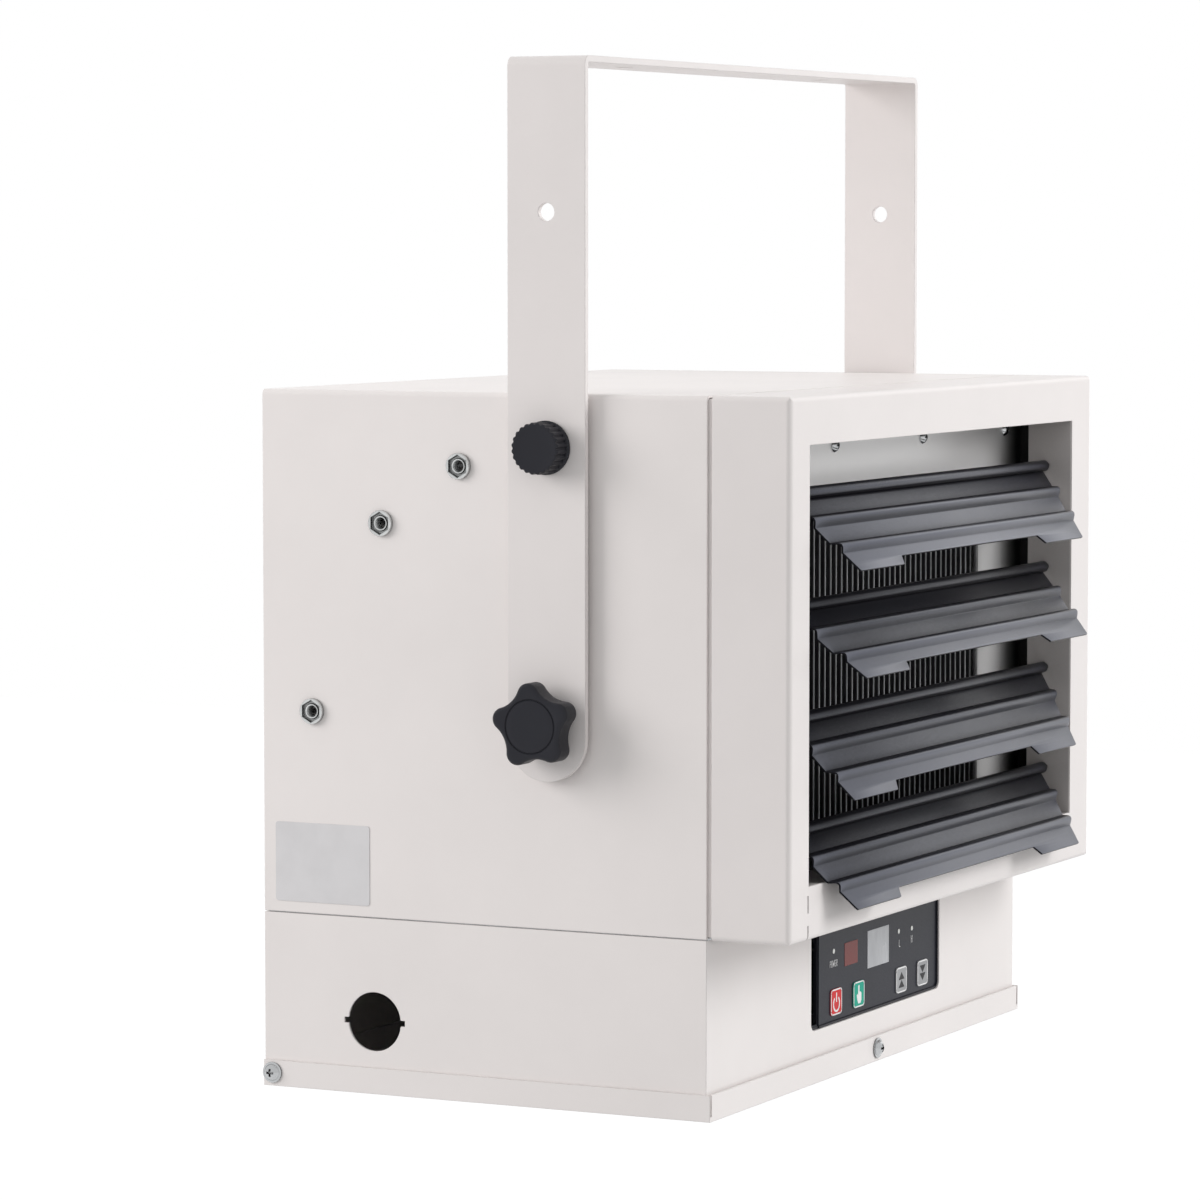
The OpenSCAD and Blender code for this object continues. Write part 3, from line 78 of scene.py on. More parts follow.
class Mat:
    """A node material with short helpers."""

    def __init__(self, name):
        self.m = bpy.data.materials.new(name)
        self.m.use_nodes = True
        self.t = self.m.node_tree
        self.b = self.t.nodes["Principled BSDF"]
        self.out = self.t.nodes["Material Output"]
        self.places = None

    def n(self, kind, **props):
        node = self.t.nodes.new(kind)
        for k, v in props.items():
            setattr(node, k, v)
        return node

    def link(self, a, b):
        self.t.links.new(a, b)

    def coords(self, kind="Object"):
        if self.places is None:
            self.places = self.n("ShaderNodeTexCoord")
        return self.places.outputs[kind]

    def xyz(self):
        """Where a point lies in the shared frame, in metres, as three sockets."""
        sep = self.n("ShaderNodeSeparateXYZ")
        self.link(self.coords(), sep.inputs["Vector"])
        return sep.outputs

    def math(self, kind, a, b=0.0):
        """A Math node's result; a number fills its socket, and anything else is linked."""
        node = self.n("ShaderNodeMath", operation=kind)
        for socket, v in zip(node.inputs, (a, b)):
            if isinstance(v, float):
                socket.default_value = v
            else:
                self.link(v, socket)
        return node.outputs[0]

    def dot(self, a, fixed):
        """A direction's dot product with a fixed one."""
        node = self.n("ShaderNodeVectorMath", operation='DOT_PRODUCT')
        self.link(a, node.inputs[0])
        node.inputs[1].default_value = fixed
        return node.outputs["Value"]

    def noise(self, scale, detail=2.0, rough=0.5, stretch=None):
        tex = self.n("ShaderNodeTexNoise")
        tex.inputs["Scale"].default_value = scale
        tex.inputs["Detail"].default_value = detail
        tex.inputs["Roughness"].default_value = rough
        if stretch is None:
            self.link(self.coords(), tex.inputs["Vector"])
        else:
            mp = self.n("ShaderNodeMapping")
            mp.inputs["Scale"].default_value = stretch
            self.link(self.coords(), mp.inputs["Vector"])
            self.link(mp.outputs["Vector"], tex.inputs["Vector"])
        return tex.outputs["Fac"]

    def ramp(self, fac, stops):
        """A colour by fac, from stops of a position and a colour."""
        r = self.n("ShaderNodeValToRGB")
        els = r.color_ramp.elements
        while len(els) < len(stops):
            els.new(0.5)
        for e, (pos, col) in zip(els, stops):
            e.position = pos
            e.color = (*col, 1.0)
        self.link(fac, r.inputs["Fac"])
        return r.outputs["Color"]

    def rng(self, fac, lo, hi, f0=0.0, f1=1.0):
        """Maps fac from f0 and f1 to lo and hi, and holds it between them."""
        r = self.n("ShaderNodeMapRange")
        r.inputs["From Min"].default_value = f0
        r.inputs["From Max"].default_value = f1
        r.inputs["To Min"].default_value = lo
        r.inputs["To Max"].default_value = hi
        self.link(fac, r.inputs["Value"])
        return r.outputs["Result"]

    def bump(self, height, strength, distance, normal):
        bp = self.n("ShaderNodeBump")
        bp.inputs["Strength"].default_value = strength
        bp.inputs["Distance"].default_value = distance
        self.link(height, bp.inputs["Height"])
        self.link(normal, bp.inputs["Normal"])
        return bp.outputs["Normal"]

    def bevel(self, radius):
        """A normal that rounds sharp edges."""
        bv = self.n("ShaderNodeBevel", samples=4)
        bv.inputs["Radius"].default_value = radius
        return bv.outputs["Normal"]

    def hollow(self, distance, dark=0.3, light=0.85):
        """0 in holes, slots and tight corners, 1 on open faces; the mask by which shade is painted."""
        ao = self.n("ShaderNodeAmbientOcclusion", samples=8, only_local=False)
        ao.inputs["Distance"].default_value = distance
        return self.rng(ao.outputs["AO"], 0.0, 1.0, dark, light)

    def mix(self, fac, low, high):
        """Mixes two colours by fac; each is a fixed colour or a socket."""
        node = self.n("ShaderNodeMix", data_type='RGBA')
        self.link(fac, node.inputs["Factor"])
        for socket, v in ((node.inputs[6], low), (node.inputs[7], high)):
            if isinstance(v, tuple):
                socket.default_value = (*v, 1.0)
            else:
                self.link(v, socket)
        return node.outputs[2]

    def set(self, **kw):
        for k, v in kw.items():
            self.b.inputs[k.replace("_", " ")].default_value = v

    def colour(self, sock):
        self.link(sock, self.b.inputs["Base Color"])

    def roughness(self, sock):
        self.link(sock, self.b.inputs["Roughness"])

    def normal(self, sock):
        self.link(sock, self.b.inputs["Normal"])


COAT_SHINE = 0.36
WHITE = (0.825, 0.785, 0.772)
# a lighter copy of the same white coat for the casing: painted light on it
BRIGHT_WHITE = (0.855, 0.815, 0.80)


def coat_finish(k, base, rough, peel=1.0, edge=0.0006):
    """Sets a satin coat's fine orange peel and sheen, and returns its faintly mottled tone."""
    mottle = k.noise(9.0, 4.0, 0.6)
    fine = k.noise(900.0, 2.0, 0.5)
    peel_h = k.noise(420.0, 1.0, 0.4)
    lo = tuple(c * 0.965 for c in base)
    hi = tuple(min(1.0, c * 1.02) for c in base)
    k.roughness(k.rng(fine, rough - 0.05, rough + 0.06, 0.35, 0.65))
    k.normal(k.bump(peel_h, 0.12 * peel, 0.0002, k.bevel(edge)))
    k.set(Metallic=0.0, IOR=1.5, Specular_IOR_Level=COAT_SHINE)
    return k.ramp(mottle, [(0.3, lo), (0.7, hi)])


def powder_coat(name, base, rough, peel=1.0, edge=0.0006):
    """Satin powder coat with softened sheet edges."""
    k = Mat(name)
    k.colour(coat_finish(k, base, rough, peel, edge))
    return k.m


def metal(name, base, rough, brush=None, edge=0.0003, scratch=0.04, metallic=1.0,
          recess=None, tarnish=0.86):
    """Bare or plated metal with fine brushing and slight tarnish, with painted shade in its recesses.
    """
    k = Mat(name)
    cloud = k.noise(60.0, 3.0, 0.6)
    grain = k.noise(500.0, 3.0, 0.6, brush) if brush else k.noise(1200.0, 2.0, 0.5)
    lo = tuple(c * tarnish for c in base)
    tone = k.ramp(cloud, [(0.32, lo), (0.62, base)])
    if recess:
        # painted shade: recesses darken to a tenth of the base colour by ambient occlusion
        tone = k.mix(k.hollow(recess), tuple(c * 0.10 for c in base), tone)
    k.colour(tone)
    k.roughness(k.rng(grain, rough - 0.06, rough + 0.09, 0.3, 0.7))
    k.normal(k.bump(grain, scratch, 0.00006, k.bevel(edge)))
    k.set(Metallic=metallic)
    return k.m


def plastic(name, base, rough, grain=0.15, grain_scale=1500.0, coat=0.0, shine=0.5):
    """Moulded plastic with a fine spark-eroded grain."""
    k = Mat(name)
    tone = k.noise(30.0, 3.0, 0.5)
    g = k.noise(grain_scale, 2.0, 0.6)
    lo = tuple(c * 0.90 for c in base)
    hi = tuple(min(1.0, c * 1.06) for c in base)
    k.colour(k.ramp(tone, [(0.3, lo), (0.7, hi)]))
    k.roughness(k.rng(g, rough - 0.05, rough + 0.07, 0.3, 0.7))
    k.normal(k.bump(g, grain, 0.00008, k.bevel(0.0003)))
    k.set(IOR=1.48, Specular_IOR_Level=shine)
    if coat:
        k.set(Coat_Weight=coat, Coat_Roughness=0.12)
    return k.m


def fins_material():
    """Black fins whose cut front edges show pale metal."""
    k = Mat("mat_fins")
    tone = k.noise(120.0, 3.0, 0.6)
    dark = k.ramp(tone, [(0.3, (0.030, 0.030, 0.034)), (0.7, (0.058, 0.058, 0.064))])
    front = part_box("heating_fins")[0].y
    edge = k.rng(k.xyz()["Y"], 1.0, 0.0, front + 0.0003, front + 0.0006)
    k.colour(k.mix(edge, dark, (0.82, 0.83, 0.85)))
    k.roughness(k.rng(tone, 0.35, 0.5, 0.3, 0.7))
    k.set(Metallic=0.0)
    return k.m


# the way that a blade's flat faces at rest, within a few degrees for all four
BLADE_FLAT = (0.0, -0.766, 0.643)


def louvre_material():
    """Smooth anthracite enamel with a cool sheen, with painted shade in the folds and on the sheet's
    cut edges, which also dims the sheen there.
    """
    k = Mat("mat_louvre_paint")
    cloud = k.noise(25.0, 3.0, 0.5)
    fine = k.noise(380.0, 1.0, 0.4)
    flat = k.math('ABSOLUTE', k.dot(k.coords("Normal"), BLADE_FLAT))
    # painted shade: darker where blades and hood occlude each other, and on faces standing across the
    # sheet (cut edges, the hem's inner band)
    painted_unshaded = k.math('MULTIPLY', k.hollow(0.15, 0.68, 0.99), k.rng(flat, 0.0, 1.0, 0.20, 0.32))
    tone = k.ramp(cloud, [(0.3, (0.063, 0.068, 0.093)), (0.7, (0.071, 0.076, 0.103))])
    k.colour(k.mix(painted_unshaded, (0.012, 0.012, 0.015), tone))
    k.roughness(k.rng(cloud, 0.29, 0.33, 0.3, 0.7))
    k.normal(k.bump(fine, 0.02, 0.0001, k.bevel(0.0003)))
    # the painted shade also lowers the sheen
    k.link(k.rng(painted_unshaded, 0.06, 0.82), k.b.inputs["Specular IOR Level"])
    k.set(Metallic=0.0, IOR=1.5, Specular_Tint=(0.87, 0.90, 1.0, 1.0))
    return k.m


# limits of the hood's inside, in metres of the shared frame at rest; the side and the top have
# one limit up to the seam and a closer one behind it
HOOD_FRONT, HOOD_FOOT = -0.1197, -0.40385
HOOD_SIDE = (0.18885, 0.1880)
HOOD_TOP = (-0.15615, -0.1570)
SEAM = (-0.0822, -0.0816)
# past these, the inside is the hollow behind the outlet's frame, painted near-black as its shadow
HOLLOW_RIGHT, HOLLOW_LEFT, HOLLOW_TOP = 0.1643, -0.1696, -0.1769


def hood_material():
    """The casing's coat with painted shade inside the outlet, and a painted near-black shadow over the
    hollow behind the frame.
    """
    k = Mat("mat_hood_paint")
    coat = coat_finish(k, WHITE, 0.38)
    x, y, z = k.xyz()
    # the seam's floor keeps the coat, so the limits draw in there
    inner = k.math('LESS_THAN', k.math('ABSOLUTE', x), k.rng(y, *HOOD_SIDE, *SEAM))
    inner = k.math('MULTIPLY', inner, k.math('LESS_THAN', z, k.rng(y, *HOOD_TOP, *SEAM)))
    inner = k.math('MULTIPLY', inner, k.math('GREATER_THAN', z, HOOD_FOOT))
    inner = k.math('MULTIPLY', inner, k.math('GREATER_THAN', y, HOOD_FRONT))
    # painted shadow: the hollow behind the frame is painted near-black
    hollow = k.math('MAXIMUM', k.math('GREATER_THAN', x, HOLLOW_RIGHT),
                    k.math('LESS_THAN', x, HOLLOW_LEFT))
    hollow = k.math('MAXIMUM', hollow, k.math('GREATER_THAN', z, HOLLOW_TOP))
    hollow = k.math('MULTIPLY', hollow, inner)
    # painted shade: the inside darkens to grey where it is occluded
    shade = k.mix(k.hollow(0.10, 0.0, 1.0), (0.34, 0.32, 0.31), coat)
    k.colour(k.mix(hollow, k.mix(inner, coat, shade), (0.02, 0.019, 0.019)))
    return k.m


# how far from the middle the reflector's bright part ends and its painted shadow begins, and where it
# is wholly dark
SHADE_START, SHADE_END = 0.159, 0.182


def reflector_material():
    """Bright rolled steel, with a painted shadow towards both ends of the plate."""
    k = Mat("mat_stainless")
    cloud = k.noise(14.0, 3.0, 0.5)
    grain = k.noise(160.0, 2.0, 0.5, (0.1, 1.0, 1.0))
    tone = k.ramp(cloud, [(0.3, (0.955, 0.945, 0.94)), (0.7, (0.99, 0.98, 0.975))])
    # painted shadow: the plate's ends, deep in the hood's pocket, fade to near-black
    clear = k.rng(k.math('ABSOLUTE', k.xyz()["X"]), 1.0, 0.0, SHADE_START, SHADE_END)
    k.colour(k.mix(clear, (0.03, 0.03, 0.031), tone))
    k.roughness(k.rng(grain, 0.29, 0.32, 0.3, 0.7))
    k.set(Metallic=0.22)
    return k.m


def lcd_material():
    """Grey display film with a faint cloudy, slightly streaked tone."""
    k = Mat("mat_lcd")
    cloud = k.noise(70.0, 3.0, 0.6, (1.0, 1.0, 0.35))
    k.colour(k.ramp(cloud, [(0.3, (0.31, 0.32, 0.34)), (0.7, (0.43, 0.44, 0.46))]))
    k.roughness(k.rng(cloud, 0.18, 0.28, 0.3, 0.7))
    k.set(IOR=1.48, Specular_IOR_Level=0.3, Coat_Weight=0.2, Coat_Roughness=0.15)
    return k.m


M = {
    # the casing takes the lighter copy of the white coat, painted light
    "casing_paint": powder_coat("mat_casing_paint", BRIGHT_WHITE, 0.38),
    "bracket_paint": powder_coat("mat_bracket_paint", WHITE, 0.40, 1.2, 0.0005),
    "galvanised": metal("mat_galvanised", (0.62, 0.63, 0.64), 0.38),
    "stainless": reflector_material(),
    "bright_zinc": metal("mat_bright_zinc", (0.60, 0.61, 0.61), 0.22, recess=0.003),
    "louvre_paint": louvre_material(),
    "element_black": fins_material(),
    "sheath": metal("mat_sheath", (0.30, 0.28, 0.27), 0.45),
    "ceramic": plastic("mat_ceramic", (0.85, 0.83, 0.76), 0.25, 0.05),
    "motor_paint": plastic("mat_motor_paint", (0.05, 0.055, 0.06), 0.42, 0.25, 700.0),
    "fan_metal": metal("mat_fan_metal", (0.70, 0.71, 0.72), 0.34),
    "black_plastic": plastic("mat_black_plastic", (0.0118, 0.0122, 0.0178), 0.42, 0.25, shine=0.30),
    "overlay": plastic("mat_overlay", (0.016, 0.0175, 0.026), 0.34, 0.06, shine=0.13),
    "lcd": lcd_material(),
    "ir_red": plastic("mat_ir_red", (0.16, 0.014, 0.010), 0.20, 0.02, shine=0.18),
    "lamp": plastic("mat_lamp", (0.70, 0.72, 0.68), 0.12, 0.02, coat=0.5),
    "key_red": plastic("mat_key_red", (0.62, 0.020, 0.024), 0.34, 0.08, shine=0.12),
    "key_green": plastic("mat_key_green", (0.0, 0.36, 0.25), 0.34, 0.08, shine=0.12),
    "key_grey": plastic("mat_key_grey", (0.34, 0.345, 0.355), 0.34, 0.08, shine=0.12),
    "board_green": plastic("mat_board_green", (0.01, 0.10, 0.04), 0.30, 0.10),
    "relay_blue": plastic("mat_relay_blue", (0.03, 0.08, 0.28), 0.35, 0.12),
    "winding": metal("mat_winding", (0.60, 0.30, 0.12), 0.35),
    "terminal_white": plastic("mat_terminal_white", (0.80, 0.79, 0.74), 0.38, 0.12),
    "earth_green": plastic("mat_earth_green", (0.02, 0.22, 0.06), 0.35, 0.12),
    "nylon": plastic("mat_nylon", (0.75, 0.75, 0.70), 0.40, 0.12),
    "plate_metal": metal("mat_plate_metal", (0.69, 0.68, 0.69), 0.36, (0.2, 6.0, 1.0), 0.0001, 0.02,
                         0.2, tarnish=0.95),
    "print_white": plastic("mat_print_white", (0.84, 0.84, 0.84), 0.40, 0.05),
    "print_dark": plastic("mat_print_dark", (0.012, 0.012, 0.014), 0.40, 0.05, shine=0.2),
}

for entry in frame["record"]["subparts"]:
    obj = NODES[entry["node"]]
    obj.data.materials.clear()
    obj.data.materials.append(M[entry["material_slot"]])
# nodes that look unlike the other pieces of their slot
screw_zinc = metal("mat_screw_zinc", (0.50, 0.51, 0.52), 0.2, recess=0.003)
SPECIAL = {"front_hood": hood_material(), "cover_screws": screw_zinc, "reflector_screws": screw_zinc}
for node, special in SPECIAL.items():
    slots = NODES[node].data.materials
    slots.clear()
    slots.append(special)

# ---------------------------------------------------------------------------
# Mesh helpers, and the heater's own frame in millimetres as in the source
# ---------------------------------------------------------------------------
ORIGIN = Vector((0.0, -80.0, -405.0))


def at(x, y, z):
    """A place in the heater's frame, in metres of the shared frame."""
    return (Vector((x, y, z)) + ORIGIN) * MM


def piece(name, verts, faces, mat, body, stands_for=(), angle=38.0, smooth=True):
    """A mesh object from points in metres, riding on a body."""
    me = bpy.data.meshes.new(name)
    me.from_pydata([tuple(v) for v in verts], [], faces)
    me.validate()
    return wrap(name, me, mat, body, stands_for, angle, smooth)


def wrap(name, me, mat, body, stands_for=(), angle=38.0, smooth=True):
    """Cleans a mesh, makes its object, hangs it on its body and hides the parts that it replaces."""
    bm = bmesh.new()
    bm.from_mesh(me)
    bmesh.ops.remove_doubles(bm, verts=bm.verts, dist=1e-6)
    bmesh.ops.recalc_face_normals(bm, faces=bm.faces)
    bm.to_mesh(me)
    bm.free()
    for poly in me.polygons:
        poly.use_smooth = smooth
    if smooth:
        me.set_sharp_from_angle(angle=radians(angle))
    obj = bpy.data.objects.new(name, me)
    scene.collection.objects.link(obj)
    me.materials.append(M[mat])
    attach(obj, body)
    if stands_for:
        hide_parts(*stands_for)
    return obj


def bake(obj):
    """Turns an object's modifiers into its mesh."""
    deps = bpy.context.evaluated_depsgraph_get()
    me = bpy.data.meshes.new_from_object(obj.evaluated_get(deps))
    obj.modifiers.clear()
    old = obj.data
    obj.data = me
    bpy.data.meshes.remove(old)


def rings_to_faces(count, per, loop=False):
    """Quads between count rings of per points; the ends are capped, or joined in a loop."""
    faces = []
    for i in range(count if loop else count - 1):
        a, b = i * per, ((i + 1) % count) * per
        for j in range(per):
            k = (j + 1) % per
            faces.append((a + j, a + k, b + k, b + j))
    if not loop:
        faces.append(tuple(range(per - 1, -1, -1)))
        faces.append(tuple((count - 1) * per + j for j in range(per)))
    return faces


def lookup(x, table):
    """Straight lines between the table's points."""
    if x <= table[0][0]:
        return table[0][1]
    for (x0, y0), (x1, y1) in zip(table, table[1:]):
        if x <= x1:
            return y0 + (y1 - y0) * (x - x0) / (x1 - x0)
    return table[-1][1]


# ---------------------------------------------------------------------------
# Louvre blades: rolled hem, two stiffening beads and a lip with two tabs
# ---------------------------------------------------------------------------
OPEN_X0, OPEN_X1 = -169.0, 163.5
OPEN_Z0, OPEN_Z1 = 25.0, 227.5
OPEN_MID = (OPEN_X0 + OPEN_X1) / 2
OPEN_W = OPEN_X1 - OPEN_X0
HOOD_D, ROD_SETBACK, ROD_MARGIN = 40.6, 13.9, 23.25
LOUVRE_Y = -HOOD_D + ROD_SETBACK
CHORD, BLADE_T, HEM_R = 45.6, 0.9, 2.9
BEAD_H, BEAD_W = 3.0, 6.8
BEAD_1, BEAD_2 = CHORD * 0.34, CHORD * 0.688
# how far to each side the corners of the blade's line are softened
EASE = 0.9
BEAD_CUTS = 26
END_GAP, TAPER = 4.0, 0.44
TAB_W, TAB_H, TAB_SLANT = 51.0, 5.0, 4.0
LIP_ROUND, TAB_ROUND = 1.4, 1.0
TILTS = (50.0, 45.0, 54.5, 51.5)
CURL_R = HEM_R - BLADE_T / 2
CURL_TURN = radians(305.0)
CURL_STEPS = 26


def louvre_z(k):
    """The height of a louvre's pivot in the heater's frame."""
    rows = OPEN_Z1 - OPEN_Z0 - 2 * ROD_MARGIN
    return OPEN_Z1 - ROD_MARGIN - k * rows / (len(TILTS) - 1)


def eased(x, table):
    """A lookup whose corners are softened."""
    return sum(lookup(x + d * EASE, table) for d in (-1.0, -0.5, 0.0, 0.5, 1.0)) / 5


def bead(u, centre):
    """How high a stiffening bead stands at u along the blade."""
    d = abs(u - centre)
    return BEAD_H * cos(pi * d / BEAD_W) ** 1.25 if d < BEAD_W / 2 else 0.0


def blade_line(u):
    """The sheet's height over the chord at u from the hem."""
    base = eased(u, [(0.0, -CURL_R), (3.0, -2.2),
                     (BEAD_1 - BEAD_W / 2, -1.75), (BEAD_1 + BEAD_W / 2, -1.55),
                     (BEAD_2 - BEAD_W / 2, -1.75), (BEAD_2 + BEAD_W / 2, -0.55), (CHORD, -0.4)])
    if u < EASE:
        base = -CURL_R
    return base + bead(u, BEAD_1) + bead(u, BEAD_2)


def arc_corner(p, a, b, r, steps=5):
    """Rounds the corner p between its neighbours a and b."""
    p, a, b = Vector(p), Vector(a), Vector(b)
    da, db = (a - p).normalized(), (b - p).normalized()
    half = da.angle(db) / 2
    back = r / tan(half)
    centre = p + (da + db).normalized() * (r / sin(half))
    start, end = p + da * back - centre, p + db * back - centre
    return [tuple(centre + start.lerp(end, i / steps).normalized() * r) for i in range(steps + 1)]


def louvre(k):
    """One blade, drawn flat with x along it and u down its chord, then bent, rolled and tilted."""
    hem_half = OPEN_W / 2 - END_GAP
    lip_half = hem_half - TAPER * CHORD
    tab_in = lip_half - TAB_W
    # corners as x, u and the radius that rounds them
    right = [(tab_in - TAB_SLANT, CHORD - TAB_H, TAB_ROUND), (tab_in, CHORD, LIP_ROUND),
             (lip_half, CHORD, LIP_ROUND), (hem_half, 0.0, 0), (hem_half, -1.0, 0)]
    raw = [(-x, u, r) for x, u, r in reversed(right)] + right
    outline = []
    for i, (x, u, r) in enumerate(raw):
        if r:
            a, b = raw[i - 1], raw[(i + 1) % len(raw)]
            outline += arc_corner((x, u), a[:2], b[:2], r)
        else:
            outline.append((x, u))
    bm = bmesh.new()
    bm.faces.new([bm.verts.new((x, u, 0.0)) for x, u in outline])
    # lines across the blade where its height changes, close together over the beads
    cuts = [0.0, EASE, 2 * EASE, 3.0, 5.0, 8.0, 22.0, 38.5, 40.6, 42.0, 44.0]
    reach = BEAD_W / 2 + EASE
    for c in (BEAD_1, BEAD_2):
        cuts += [c - reach + i * 2 * reach / BEAD_CUTS for i in range(BEAD_CUTS + 1)]
    for u in sorted(cuts):
        geom = bm.verts[:] + bm.edges[:] + bm.faces[:]
        bmesh.ops.bisect_plane(bm, geom=geom, dist=1e-5, plane_co=(0, u, 0), plane_no=(0, 1, 0))
    # the rolled hem grows from the sheet's foot edge
    foot = [v for v in bm.verts if v.co.y < -0.5]
    for v in foot:
        v.co.y = -0.001
    bmesh.ops.remove_doubles(bm, verts=bm.verts, dist=0.01)
    for v in bm.verts:
        u = max(v.co.y, 0.0)
        v.co = Vector((v.co.x, -u, blade_line(u)))
    edge = sorted((v for v in bm.verts if abs(v.co.y) < 0.01), key=lambda v: v.co.x)
    prev = [edge[0], edge[-1]]
    for i in range(1, CURL_STEPS + 1):
        th = CURL_TURN * i / CURL_STEPS
        row = [bm.verts.new((v.co.x, CURL_R * sin(th), -CURL_R * cos(th)))
               for v in (edge[0], edge[-1])]
        bm.faces.new((prev[0], prev[1], row[1], row[0]))
        prev = row
    me = bpy.data.meshes.new(f"louvre_{k + 1}_sheet")
    turn = Matrix.Rotation(radians(TILTS[k]), 4, 'X')
    bmesh.ops.recalc_face_normals(bm, faces=bm.faces)
    for v in bm.verts:
        v.co = at(OPEN_MID, LOUVRE_Y, louvre_z(k)) + (turn @ v.co) * MM
    bm.to_mesh(me)
    bm.free()
    obj = wrap(f"louvre_{k + 1}_sheet", me, "louvre_paint", f"louvre_{k + 1}",
               [f"louvre_blade_{k + 1}"], 50.0)
    solid = obj.modifiers.new("sheet", 'SOLIDIFY')
    solid.thickness = BLADE_T * MM
    solid.offset = 0.0
    bev = obj.modifiers.new("edges", 'BEVEL')
    bev.width = 0.22 * MM
    bev.segments = 2
    bev.limit_method = 'ANGLE'
    bev.angle_limit = radians(60.0)
    bake(obj)
    for poly in obj.data.polygons:
        poly.use_smooth = True
    obj.data.set_sharp_from_angle(angle=radians(50.0))


for index in range(len(TILTS)):
    louvre(index)

# ---------------------------------------------------------------------------
# Knobs
# ---------------------------------------------------------------------------
STRAP_FACE = 196.5
LOCK_R = 127.8
PIVOT_Z = -307.7
LOCK_Z = PIVOT_Z + LOCK_R
STAR_R, STAR_T, STAR_HUB = 20.1, 11.6, 5.6
STAR_POINTS, KNURL_POINTS = 180, 192
STAR_LEAN = radians(6.5)
PIVOT_BORE, LOCK_BORE, BORE_DEPTH = 4.05, 2.55, 8.05
KNOB_GAP = 0.3
LOCK_KNOB_R, LOCK_KNOB_T, FLUTE = 12.1, 12.4, 0.95


def on_side(side, x, z):
    """Maps a point drawn with +Z outwards onto the bracket's side; x and z in millimetres."""
    def place(p):
        return Vector((side * (x + p[2]), p[1], z - side * p[0])) * MM
    return place


def star_radius(phi):
    """Five lobes: tip circles joined to wide valley circles."""
    tip_r, valley_min = 0.265 * STAR_R, 0.757 * STAR_R
    c = STAR_R - tip_r
    k = cos(radians(36.0))
    d = (c * c - (tip_r - valley_min) ** 2) / (2 * (c * k + tip_r - valley_min))
    v = d - valley_min
    a = abs((phi + radians(36.0)) % radians(72.0) - radians(36.0))
    tip = Vector((c, 0))
    joint = tip + (Vector((d * k, d * sin(radians(36.0)))) - tip).normalized() * tip_r
    if a <= joint.angle(Vector((1, 0))):
        return c * cos(a) + sqrt(max(tip_r ** 2 - (c * sin(a)) ** 2, 0.0))
    b = radians(36.0) - a
    return d * cos(b) - sqrt(max(v ** 2 - (d * sin(b)) ** 2, 0.0))


def star_ring(inset, z):
    """The star's outline at height z, drawn in by inset."""
    pts = []
    e = 0.004
    for i in range(STAR_POINTS):
        phi = 2 * pi * i / STAR_POINTS
        r0, r1, r2 = star_radius(phi - e), star_radius(phi), star_radius(phi + e)
        slope = (r2 - r0) / (2 * e)
        normal = Vector((r1, -slope)).normalized()
        p = Vector((r1, 0)) - normal * inset
        a = phi + STAR_LEAN
        pts.append((p.x * cos(a) - p.y * sin(a), p.x * sin(a) + p.y * cos(a), z))
    return pts


def circle_ring(r, z):
    turns = [2 * pi * i / STAR_POINTS + STAR_LEAN for i in range(STAR_POINTS)]
    return [(r * cos(a), r * sin(a), z) for a in turns]


def star_knob(name, side, body, node):
    """Round hub and five lobes with rounded rims, and a cap set in a groove."""
    top, low = STAR_HUB + STAR_T, STAR_HUB
    rings = [circle_ring(PIVOT_BORE, BORE_DEPTH), circle_ring(PIVOT_BORE, 0.0), circle_ring(9.4, 0.0),
             circle_ring(9.9, 0.5), circle_ring(9.9, low - 0.6), circle_ring(10.4, low)]
    for i in range(5):
        a = radians(90.0 * i / 4)
        rings.append(star_ring(1.2 * (1 - sin(a)), low + 1.2 * (1 - cos(a))))
    rings.append(star_ring(0.0, low + STAR_T * 0.5))
    for i in range(7):
        a = radians(90.0 * i / 6)
        rings.append(star_ring(1.9 * (1 - cos(a)), top - 1.9 * (1 - sin(a))))
    for r, down in ((13.1, 0.02), (12.85, 0.12), (12.72, 0.5), (12.45, 0.62), (12.2, 0.5),
                    (12.05, 0.14), (11.7, 0.05), (9.0, 0.10), (5.0, 0.16), (1.5, 0.18)):
        rings.append(circle_ring(r, top - down))
    place = on_side(side, STRAP_FACE + KNOB_GAP, PIVOT_Z)
    verts = [place(p) for ring in rings for p in ring]
    faces = rings_to_faces(len(rings), STAR_POINTS)
    piece(name, verts, faces, "black_plastic", body, [node], 40.0)


star_knob("star_grip_left", -1, "star_left", "star_knob_left")
star_knob("star_grip_right", 1, "star_right", "star_knob_right")


def knurl_ring(r, depth, z):
    """A circle with 24 flutes, each depth deep."""
    pts = []
    for i in range(KNURL_POINTS):
        a = 2 * pi * i / KNURL_POINTS
        rr = r - depth * (0.5 + 0.5 * cos(24 * a)) ** 1.4
        pts.append((rr * cos(a), rr * sin(a), z))
    return pts


